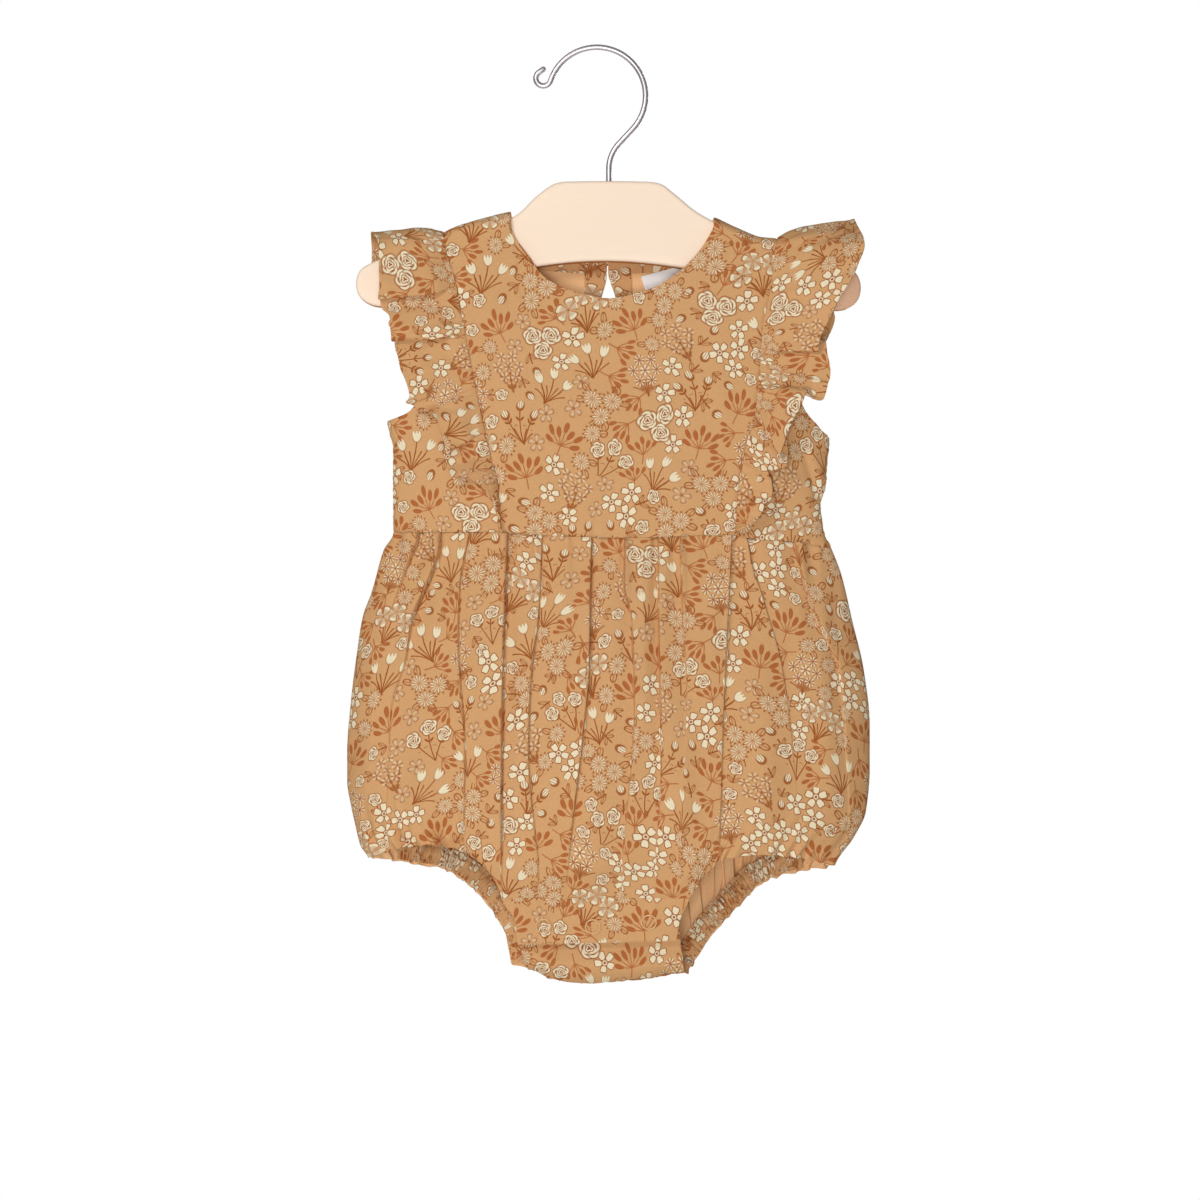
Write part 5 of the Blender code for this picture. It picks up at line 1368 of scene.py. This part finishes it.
WAIST_PUCKER, WAIST_SWELL = (.55, 5, 11), (.5, 11, 40)   # height, pitch, reach
LEG_PUCKER = 1.0                         # height of the gathers at the legs
LEG_PITCH, LEG_PITCH_WIDE = 5.2, 9       # of their fine and of their broader ripples
BACK_RIDGE, BACK_RIDGE_PITCH = 4.2, 17   # height and pitch of the ridges among them behind
CROTCH_SHARE = .12                       # how much of them the crotch has
SKIRT_CRUMPLE, SKIRT_CRUMPLE_HIGH = 40, .35      # size and height of the skirt's unevenness
STEP_HALF, DRAWN_HALF = .3, .4           # half widths: of a crease's step, of what it draws in
SLIT_ASIDE, SLIT_HALF_WIDE = .2, .32     # of the slit at its foot
FULL_STEP = 1.5                          # height of step at which a crease is a full one
SKIRT_CUT = (60, 113)                    # place on the printed cloth, away from the other skirt's
GATHER_REACH = {-1: 12, 1: 30}           # how far up the legs' gathers run


def crotch_line(side, share):
    """Bottom of a skirt between the leg edges: straight in front, the fold behind."""
    left, right = LEG_EDGES[side][0][-1][1], LEG_EDGES[side][1][-1][1]
    x = left + (right - left) * share
    if side < 0:
        return np.stack((x, np.full_like(x, LEG_FRONT_LEFT[-1][2])), -1)
    corner, fold_start = LEG_BACK_LEFT[-1], FLAP_LEFT[-1]
    slope = (fold_start[2] - corner[2]) / (fold_start[1] - corner[1])
    beside = corner[2] + (x - corner[1]) * slope
    fold = smooth(CROTCH_FOLD, 1, np.maximum(x, fold_start[1]))
    return np.stack((x, np.where(x < fold_start[1], beside, fold)), -1)


def hem(side):
    """Whole bottom edge of a skirt: left leg, crotch, right leg, as a function of a share."""
    left, right = LEG_EDGES[side]
    end_left, end_right = HEM_SHARES[side]

    def edge(share):
        """Points (x, drop) at shares of the way along."""
        share = np.clip(share, 0, 1)
        legs = np.where((share < .5)[..., None], along(left, share / end_left),
                        along(right, (1 - share) / (1 - end_right)))
        middle = crotch_line(side, (share - end_left) / (end_right - end_left))
        inside_legs = (share > end_left) & (share < end_right)
        return np.where(inside_legs[..., None], middle, legs)
    return edge


def skirt_grid(side, across, down):
    """Skirt between the waist, the side seams and the whole bottom edge."""
    return patch(across_edge(WAIST, WAIST[0][0], WAIST[-1][0]), hem(side),
                 down_edge(LEFT_SIDE, WAIST[0][1], LEG_FRONT_LEFT[0][2]),
                 down_edge(RIGHT_SIDE, WAIST[-1][1], LEG_FRONT_RIGHT[0][2]), across, down)


def crease_columns(side, creases, rows):
    """Shares across for every row: even columns, and others close together beside each crease."""
    even = np.linspace(0, 1, int(250 / COLUMN_STEP))
    across, down = np.meshgrid(even, rows)
    grid = skirt_grid(side, across, down)
    wide = grid[:, -1, 0] - grid[:, 0, 0]
    found = [np.broadcast_to(even, across.shape), np.full((len(rows), 2), (.003, .997))]
    for crease in creases:
        off = grid[..., 0] - smooth(crease, 1, grid[..., 1])
        i = np.clip(np.sum(off < 0, 1), 1, len(even) - 1)
        row = np.arange(len(rows))
        before, after = off[row, i - 1], off[row, i]
        middle = even[i - 1] + (even[i] - even[i - 1]) * np.clip(-before / (after - before), 0, 1)
        found.append(np.clip(middle[:, None] + CREASE_OFFSETS / wide[:, None], .001, .999))
    return np.sort(np.concatenate(found, 1), 1)


def crease_lift(grid, creases):
    """Relief of the creases, and how far each point's cloth has been drawn along into them.  Each
    crease is a step that fades on both sides, with a narrow slit at its foot."""
    x, drop = grid[..., 0], grid[..., 1]
    lift, drawn = np.zeros_like(x), np.zeros_like(x)
    for crease in creases:
        off = x - smooth(crease, 1, drop)
        high, slit, half = (smooth(crease, column, drop) for column in (2, 3, 4))
        low_side = np.sign(crease[0][2])
        lift -= STEP * high * np.tanh(off / STEP_HALF) * np.exp(-(off / half) ** 2)
        lift -= SLIT * slit * np.exp(-((off - SLIT_ASIDE * low_side) / SLIT_HALF_WIDE) ** 2)
        drawn += HIDDEN * np.minimum(np.abs(high) / FULL_STEP, 1) * np.tanh(off / DRAWN_HALF)
    return lift, drawn


SKIRT_FOLDS = {
    -1: ((-112, 300, -116, 395, 9, 1.4), (-90, 330, -88, 412, 7, 1.2), (-58, 262, -60, 330, 6, .9),
         (-20, 262, -22, 340, 7, .9), (-38, 300, -42, 425, 6, 1.0), (5, 262, 6, 330, 6, .8),
         (24, 262, 25, 350, 5, .8), (55, 262, 55, 345, 6, .9), (0, 350, -4, 430, 9, 1.0),
         (40, 340, 46, 425, 8, 1.1), (84, 320, 86, 410, 9, 1.3), (112, 300, 122, 395, 9, 1.3),
         (-70, 395, -55, 425, 5, 1.0), (60, 400, 45, 430, 5, 1.0), (20, 420, -30, 428, 5, .7)),
    1: ((-110, 300, -114, 395, 9, 1.4), (-86, 330, -84, 412, 7, 1.2), (-62, 262, -64, 350, 6, .9),
        (-20, 262, -20, 370, 7, .9), (24, 262, 25, 370, 6, .9), (47, 262, 48, 370, 6, .9),
        (0, 350, -4, 450, 9, 1.0), (72, 300, 76, 410, 8, 1.1), (112, 300, 122, 395, 9, 1.3))}

for side, creases, node, seed in ((-1, FRONT_CREASES, "front_skirt", 71),
                                  (1, BACK_CREASES, "back_skirt", 81)):
    across = crease_columns(side, creases, SKIRT_ROWS)
    down = np.broadcast_to(SKIRT_ROWS[:, None], across.shape)
    grid = draw_in(skirt_grid(side, across, down), ("top", "bottom"))
    x, drop = grid[..., 0], grid[..., 1]
    lift, drawn = crease_lift(grid, creases)
    lift *= 1 - down ** 10
    below, above = away(grid, "top"), away(grid, "bottom")
    edge = np.linspace(0, 1, 400)
    edge_run = np.interp(across, edge, run_along(hem(side)(edge)))
    left_end, right_end = HEM_SHARES[side]
    on_leg = np.clip(np.maximum(left_end - across, across - right_end) / .07, 0, 1)
    lift += FOLD_RISE * soft_folds(grid, SKIRT_FOLDS[side])
    lift += puckers(x, below, WAIST_PUCKER, seed) * np.clip(below / 1.5 + .3, 0, 1)
    lift += puckers(x, below, WAIST_SWELL, seed + 1)
    pucker = ripple(edge_run, LEG_PITCH, seed + 2) + .6 * ripple(edge_run, LEG_PITCH_WIDE, seed + 3)
    if side > 0:
        ridge = ripple(edge_run, BACK_RIDGE_PITCH, seed + 5)
        pucker = pucker + BACK_RIDGE * np.exp(-(ridge / .4) ** 2)
    lift += (LEG_PUCKER * pucker * np.exp(-above / GATHER_REACH[side])
             * (CROTCH_SHARE + (1 - CROTCH_SHARE) * on_leg))
    lift += (SKIRT_CRUMPLE_HIGH * rumple(x, drop, SKIRT_CRUMPLE, seed + 4)
             * np.clip(below / 30, 0, 1))
    lift += sunk(grid, ("top",))
    inner_edge = np.minimum(away(grid, "left"), away(grid, "right"))
    lift *= np.clip(inner_edge / 6, 0, 1) ** .6
    cut = np.stack((unrolled(grid, side) + drawn + SKIRT_CUT[0] * side, -drop + SKIRT_CUT[1]), -1)
    cloth(node, grid, side, lift, cut)


# ---- back neck facings and label ---------------------------------------------------------------
# Bias strips of the same cotton turned inside the back neckline and round the keyhole, with their
# printed side showing inside the neck, and a small woven ribbon label sewn in beside the keyhole.
HEM_GAP = 0.3
SOLID_CLOTH, TRIM_SOLID = 1.2, 0.8       # thicknesses that the layers are spaced by
TRIM = 0.5
FACING_WIDTH = 13.0
FACING_SLACK = 0.1
KEYHOLE_X = 5.7
KEYHOLE_FACING_HALF = 12.2
KEYHOLE_FACING_TOP, KEYHOLE_FACING_FOOT = 103.0, 164.0
LABEL_CORNER, LABEL_TOP_EDGE, LABEL_SIDE_EDGE = (23, 117), (26, -7), (3, 9.5)   # x, drop
LABEL_CLOTH = 0.35
LABEL_CAUGHT = 1.5                       # how much of the label is hidden in the seam
under = -(SOLID_CLOTH + LAYER_GAP)


def strip(edge, turn, start, widths):
    """Strip beside an edge of points: offsets square to the edge, at distances from it."""
    way = np.gradient(edge, axis=0)
    inward = np.stack((-way[:, 1], way[:, 0]), -1) * turn
    inward /= np.linalg.norm(inward, axis=-1, keepdims=True)
    return np.stack([edge + inward * (start + width) for width in widths])


for word, start, end, shift in (("left", .245, .435, 520), ("right", .755, .565, 590)):
    edge = along(BACK_NECK, np.linspace(start, end, 60))
    steps = np.linspace(0, 1, 10)
    grid = strip(edge, np.sign(end - start), 2 * HEM_GAP, FACING_WIDTH * steps)
    reach = KEYHOLE_FACING_HALF + SEAM_GAP
    grid[..., 0] = (np.minimum(grid[..., 0], KEYHOLE_X - reach) if start < end
                    else np.maximum(grid[..., 0], KEYHOLE_X + reach))
    out = under - steps[:, None] * FACING_SLACK + .12 * rumple(grid[..., 0], grid[..., 1], 9, shift)
    cloth(f"neck_facing_{word}", grid, 1, out, flat_cut(grid, (shift, 30)), thick=TRIM,
          finishes=[lit_wrong_side, right_side])

drops = np.sort(np.append(np.linspace(KEYHOLE_FACING_TOP, KEYHOLE_FACING_FOOT, 50), KEYHOLE_END))
half = smooth(KEYHOLE, 1, drops)[:, None] + HEM_GAP
stops = np.linspace(0, 1, 12)
reach = half + (KEYHOLE_FACING_HALF - half) * stops
x = np.concatenate((KEYHOLE_X - reach[:, ::-1], KEYHOLE_X + reach), 1)
grid = np.stack((x, np.broadcast_to(drops[:, None], x.shape)), -1)
keep = np.ones((len(drops) - 1, x.shape[1] - 1), bool)
keep[drops[:-1] < KEYHOLE_END, len(stops) - 1] = False
cloth("keyhole_facing", grid, 1, under + .1 * rumple(grid[..., 0], grid[..., 1], 10, 5),
      flat_cut(grid, (640, 12)), thick=TRIM, keep=keep, finishes=[lit_wrong_side, right_side])

# Woven polyester ribbon: white, close and slightly shiny, with fine ribs across it.
ribbon, tree, shader = finish("woven_polyester_ribbon", "#F3F2F1", 0.5)
u, v, _ = parts(tree, add(tree, "ShaderNodeUVMap", uv_map="cut"))
ribs = (v * (math.tau / 0.5)).to("SINE") + (u * (math.tau / 0.9)).to("SINE") * 0.3
tree.links.new(add(tree, "ShaderNodeBump", Strength=0.3, Distance=0.0001, Height=ribs),
               shader.inputs["Normal"])
across, down = np.meshgrid(np.linspace(0, 1, 30), np.linspace(0, 1, 14))
corner, top, sideways = map(np.array, (LABEL_CORNER, LABEL_TOP_EDGE, LABEL_SIDE_EDGE))
grid = corner + across[..., None] * top + down[..., None] * sideways
long, short = np.linalg.norm(top), np.linalg.norm(sideways)
cut = np.stack((across * long, down * (short + LABEL_CAUGHT)), -1)
surface, normal = body(grid, 1)
out = (under - TRIM_SOLID - LAYER_GAP - .5 * np.sin(across * math.pi) * down)[..., None]
thing = wall("neck_label", apart(surface + normal * out, 1),
             apart(surface + normal * (out - LABEL_CLOTH), 1), cut, finishes=[ribbon, ribbon])
sewn(["label"], cut)


# ---- nape button and loop ----------------------------------------------------------------------
# A small dished resin button and a rouleau loop of the same cotton close the keyhole behind.
BUTTON_ACROSS, BUTTON_HIGH = 9.0, 2.2
BUTTON_X, BUTTON_DROP = 13.0, 108.0
LOOP_CORD = 1.4


def turned(name, profile, centre, axis, finishes, sides=40, solid=False):
    """Ring turned round an axis, from a closed loop of (radius, height).  A solid disc's profile
    runs from its bottom to its top, off the axis, and is capped at both ends."""
    axis = np.asarray(axis) / np.linalg.norm(axis)
    first = np.cross(axis, (0, 0, 1.0))
    first /= np.linalg.norm(first)
    second = np.cross(axis, first)
    radius, height = np.asarray(profile, float).T
    angle = np.arange(sides) * math.tau / sides
    spoke = np.cos(angle)[:, None] * first + np.sin(angle)[:, None] * second
    points = centre + spoke[:, None] * radius[None, :, None] + axis * height[None, :, None]
    index = np.arange(sides * len(radius)).reshape(sides, -1)
    onward = np.roll(index, -1, 1)
    quads = np.stack((index, onward, np.roll(onward, -1, 0), np.roll(index, -1, 0)), -1)
    caps = []
    if solid:
        quads = quads[:, :-1]
        caps = [index[:, 0].tolist(), index[::-1, -1].tolist()]
    return made(name, points.reshape(-1, 3), quads.reshape(-1, 4).tolist() + caps, finishes)


# Cast polyester resin: tan, clouded and polished.
resin, tree, shader = finish("cast_polyester_resin", "#C98F5C", 0.28)
cloud = add(tree, "ShaderNodeTexNoise", add(tree, "ShaderNodeTexCoord", output=3), Scale=260.0,
            Detail=2.0)
tree.links.new(add(tree, "ShaderNodeMix", cloud, *NO_NUMBERS, linear("#BF8451"),
                   linear("#D7A274"), **COLOUR_MIX), shader.inputs["Base Color"])
surface, normal = body(np.array(((BUTTON_X, BUTTON_DROP),)), 1)
radius = BUTTON_ACROSS / 2
profile = ((radius - .9, 0), (radius - .3, .2), (radius, .7), (radius, BUTTON_HIGH - .7),
           (radius - .25, BUTTON_HIGH - .15), (radius - .7, BUTTON_HIGH),
           (radius - 1.2, BUTTON_HIGH - .15), (radius - 1.8, BUTTON_HIGH - .6),
           (radius - 3.2, BUTTON_HIGH - .75))
button = turned("nape_button_resin", profile, surface[0] + normal[0] * LAYER_GAP, normal[0], [resin],
                solid=True)
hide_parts("nape_button")

ring = radius + LOOP_CORD / 2 + LAYER_GAP
angles = np.radians(np.linspace(140, -140, 40))
route = [(1.2, BUTTON_DROP + 1.4), (2.8, BUTTON_DROP + 1.7), (4.5, BUTTON_DROP + 2.2)]
route += [(BUTTON_X + ring * math.cos(a), BUTTON_DROP + ring * math.sin(a)) for a in angles]
route += [(4.5, BUTTON_DROP - 2.2), (2.8, BUTTON_DROP - 1.7), (1.2, BUTTON_DROP - 1.4)]
surface, normal = body(np.array(route), 1)
loop = tube("nape_loop_cord", surface + normal * (LOOP_CORD / 2 + LAYER_GAP), LOOP_CORD,
            [right_side], sides=12, cut=np.array((820.0, 40.0)))
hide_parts("nape_loop")


# ---- leg casings -------------------------------------------------------------------------------
# Bands of the same cotton turned inside the leg edges round elastic.  The elastic draws them up in
# close puckers square to the edge, and their printed side shows inside the legs.
CASING_WIDTH = 10.5
CASING_SLACK = 1.8
CASING_PITCH, CASING_PUCKER = 2.0, 1.6
CASING_DRAWN = 2.05                      # length of flat cloth in a length of the casing
CASING_SHIFT = .9                        # how far its puckers drag the cloth along
CASING_STITCH = .93                      # of the way in, where it is sewn down
ELASTIC_AT, ELASTIC_HALF = .68, .2       # of the way in: where the elastic lies, half its width
RIDGE_AT, RIDGE_HALF, RIDGE = .85, .03, .3       # and the ridge beside it, with its height
CASING_STOPS = {-1: (.1, .86), 1: (.12, 1.0)}    # ends along the leg edge, front and back
CASING_CUT = (880, 90, 40)               # place on the printed cloth, and steps to its fellows

for side, face in ((-1, "front"), (1, "back")):
    for leg, word, turn in zip(LEG_EDGES[side], ("left", "right"), (-1, 1)):
        edge = along(leg, np.linspace(*CASING_STOPS[side], 400))
        steps = np.linspace(0, 1, 19)
        grid = strip(edge, turn, HEM_GAP, CASING_WIDTH * steps)
        run, steps = run_along(edge), steps[:, None]
        seed = 90 + 3 * turn + 7 * side
        pucker = ripple(run + 1.2 * np.sin(steps * 2), CASING_PITCH, seed)
        drawn_up = (np.exp(-((steps - ELASTIC_AT) / ELASTIC_HALF) ** 2)
                    + .45 * np.exp(-(steps / .25) ** 2))
        out = under - LAYER_GAP - steps * CASING_SLACK - .1 - .25 * np.sin(math.pi * steps)
        out = out - CASING_PUCKER * (.5 + .5 * pucker) * drawn_up
        out = out + RIDGE * np.exp(-((steps - RIDGE_AT) / RIDGE_HALF) ** 2)
        shifted = run * CASING_DRAWN + CASING_SHIFT * pucker * np.minimum(steps * 4, 1)
        cut = np.stack(np.broadcast_arrays(shifted + CASING_CUT[0] + CASING_CUT[1] * side,
                                           steps * CASING_WIDTH + CASING_CUT[2] * turn), -1)
        near = np.clip(1 - np.abs(steps - CASING_STITCH) * CASING_WIDTH / .9, 0, 1)
        cloth(f"leg_casing_{face}_{word}", grid, side, out, cut, thick=TRIM,
              finishes=[lit_wrong_side, right_side], stitched=near)


# ---- crotch band, flap and snaps ---------------------------------------------------------------
# The front ends in a doubled band with three snaps through it, and the back turns up behind it to
# meet them.  The snaps' thin prong rings show in front, and their studs lie between band and flap.
PLACKET = 2.0
FLAP_TOP = 442.0
FLAP_TURN, FLAP_TURN_END = 464.5, 475.5
STUD_ACROSS, STUD_HIGH = 7.0, 1.8
SNAP_OUTER, SNAP_INNER, SNAP_HIGH = 8.3, 6.7, 0.7
SNAP_PLACES = ((-27.6, 453.9), (-2.1, 454.2), (26.8, 451.9))                    # x, drop
PLACKET_LEFT = ((0, -49, 439.5), (.2, -47, 444), (.5, -42, 452), (1, -41, 464))
PLACKET_RIGHT = ((0, 48, 439.5), (.5, 43, 451), (1, 41, 462))

across, down = np.meshgrid(np.linspace(0, 1, 90), np.linspace(0, 1, 26))
foot = between(PLACKET_LEFT[-1][1:], PLACKET_RIGHT[-1][1:])
grid = patch(lambda s: crotch_line(-1, s), foot, lambda s: along(PLACKET_LEFT, s),
             lambda s: along(PLACKET_RIGHT, s), across, down)
grid = draw_in(grid, ("top",))
x, drop = grid[..., 0], grid[..., 1]
lift = sunk(grid, ("top",)) + .25 * rumple(x, drop, 22, 101)
lift += puckers(x, away(grid, "top"), (.4, 8, 4), 102)
cloth("crotch_placket", grid, -1, lift, flat_cut(grid, (-60, 113)), thick=1.6)

behind = PLACKET + STUD_HIGH + 2 * LAYER_GAP
across, down = np.meshgrid(np.linspace(0, 1, 80), shares((0, .55, 12), (.55, 1, 34)))
top = between((FLAP_LEFT[0][1], FLAP_TOP), (FLAP_RIGHT[0][1], FLAP_TOP))
fold = across_edge(CROTCH_FOLD, FLAP_LEFT[-1][1], FLAP_RIGHT[-1][1])
grid = patch(top, fold, lambda s: along(FLAP_LEFT, s), lambda s: along(FLAP_RIGHT, s), across, down)
forward = np.clip((grid[..., 1] - FLAP_TURN) / (FLAP_TURN_END - FLAP_TURN), 0, 1)
out = -behind * (1 - eased(forward))
out = out + .3 * rumple(grid[..., 0], grid[..., 1], 16, 103) * forward
cloth("crotch_flap", grid, -1, out, flat_cut(grid, (37, 150)))

# Enamelled brass: a smooth tan enamel over a thin pressed ring.
enamel = finish("enamelled_brass_ring", "#DDB07C", 0.3, Coat_Weight=0.5)[0]
# Pressed stainless steel: bare, and bright where it turns.
stud_steel = finish("pressed_stainless_steel", "#C9C6C2", 0.28, 1.0)[0]
middle, half = (SNAP_OUTER + SNAP_INNER) / 4, (SNAP_OUTER - SNAP_INNER) / 4
ring = [(middle + half * math.cos(a), SNAP_HIGH / 2 * (1 + math.sin(a)))
        for a in np.arange(12) * math.tau / 12]
disc = ((STUD_ACROSS / 2 - .5, 0), (STUD_ACROSS / 2 - .1, .1), (STUD_ACROSS / 2, .5),
        (STUD_ACROSS / 2, STUD_HIGH - .5), (STUD_ACROSS / 2 - .1, STUD_HIGH - .1),
        (STUD_ACROSS / 2 - .5, STUD_HIGH))
places, faces_out = body(np.array(SNAP_PLACES), -1)
for number, (point, normal) in enumerate(zip(places, faces_out), 1):
    thing = turned(f"snap_ring_{number}_enamel", ring, point + normal * LAYER_GAP, normal, [enamel])
    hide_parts(f"snap_ring_{number}")
    thing = turned(f"snap_stud_{number}_steel", disc,
                   point - normal * (PLACKET + LAYER_GAP + STUD_HIGH), normal, [stud_steel],
                   solid=True)
    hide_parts(f"snap_stud_{number}")
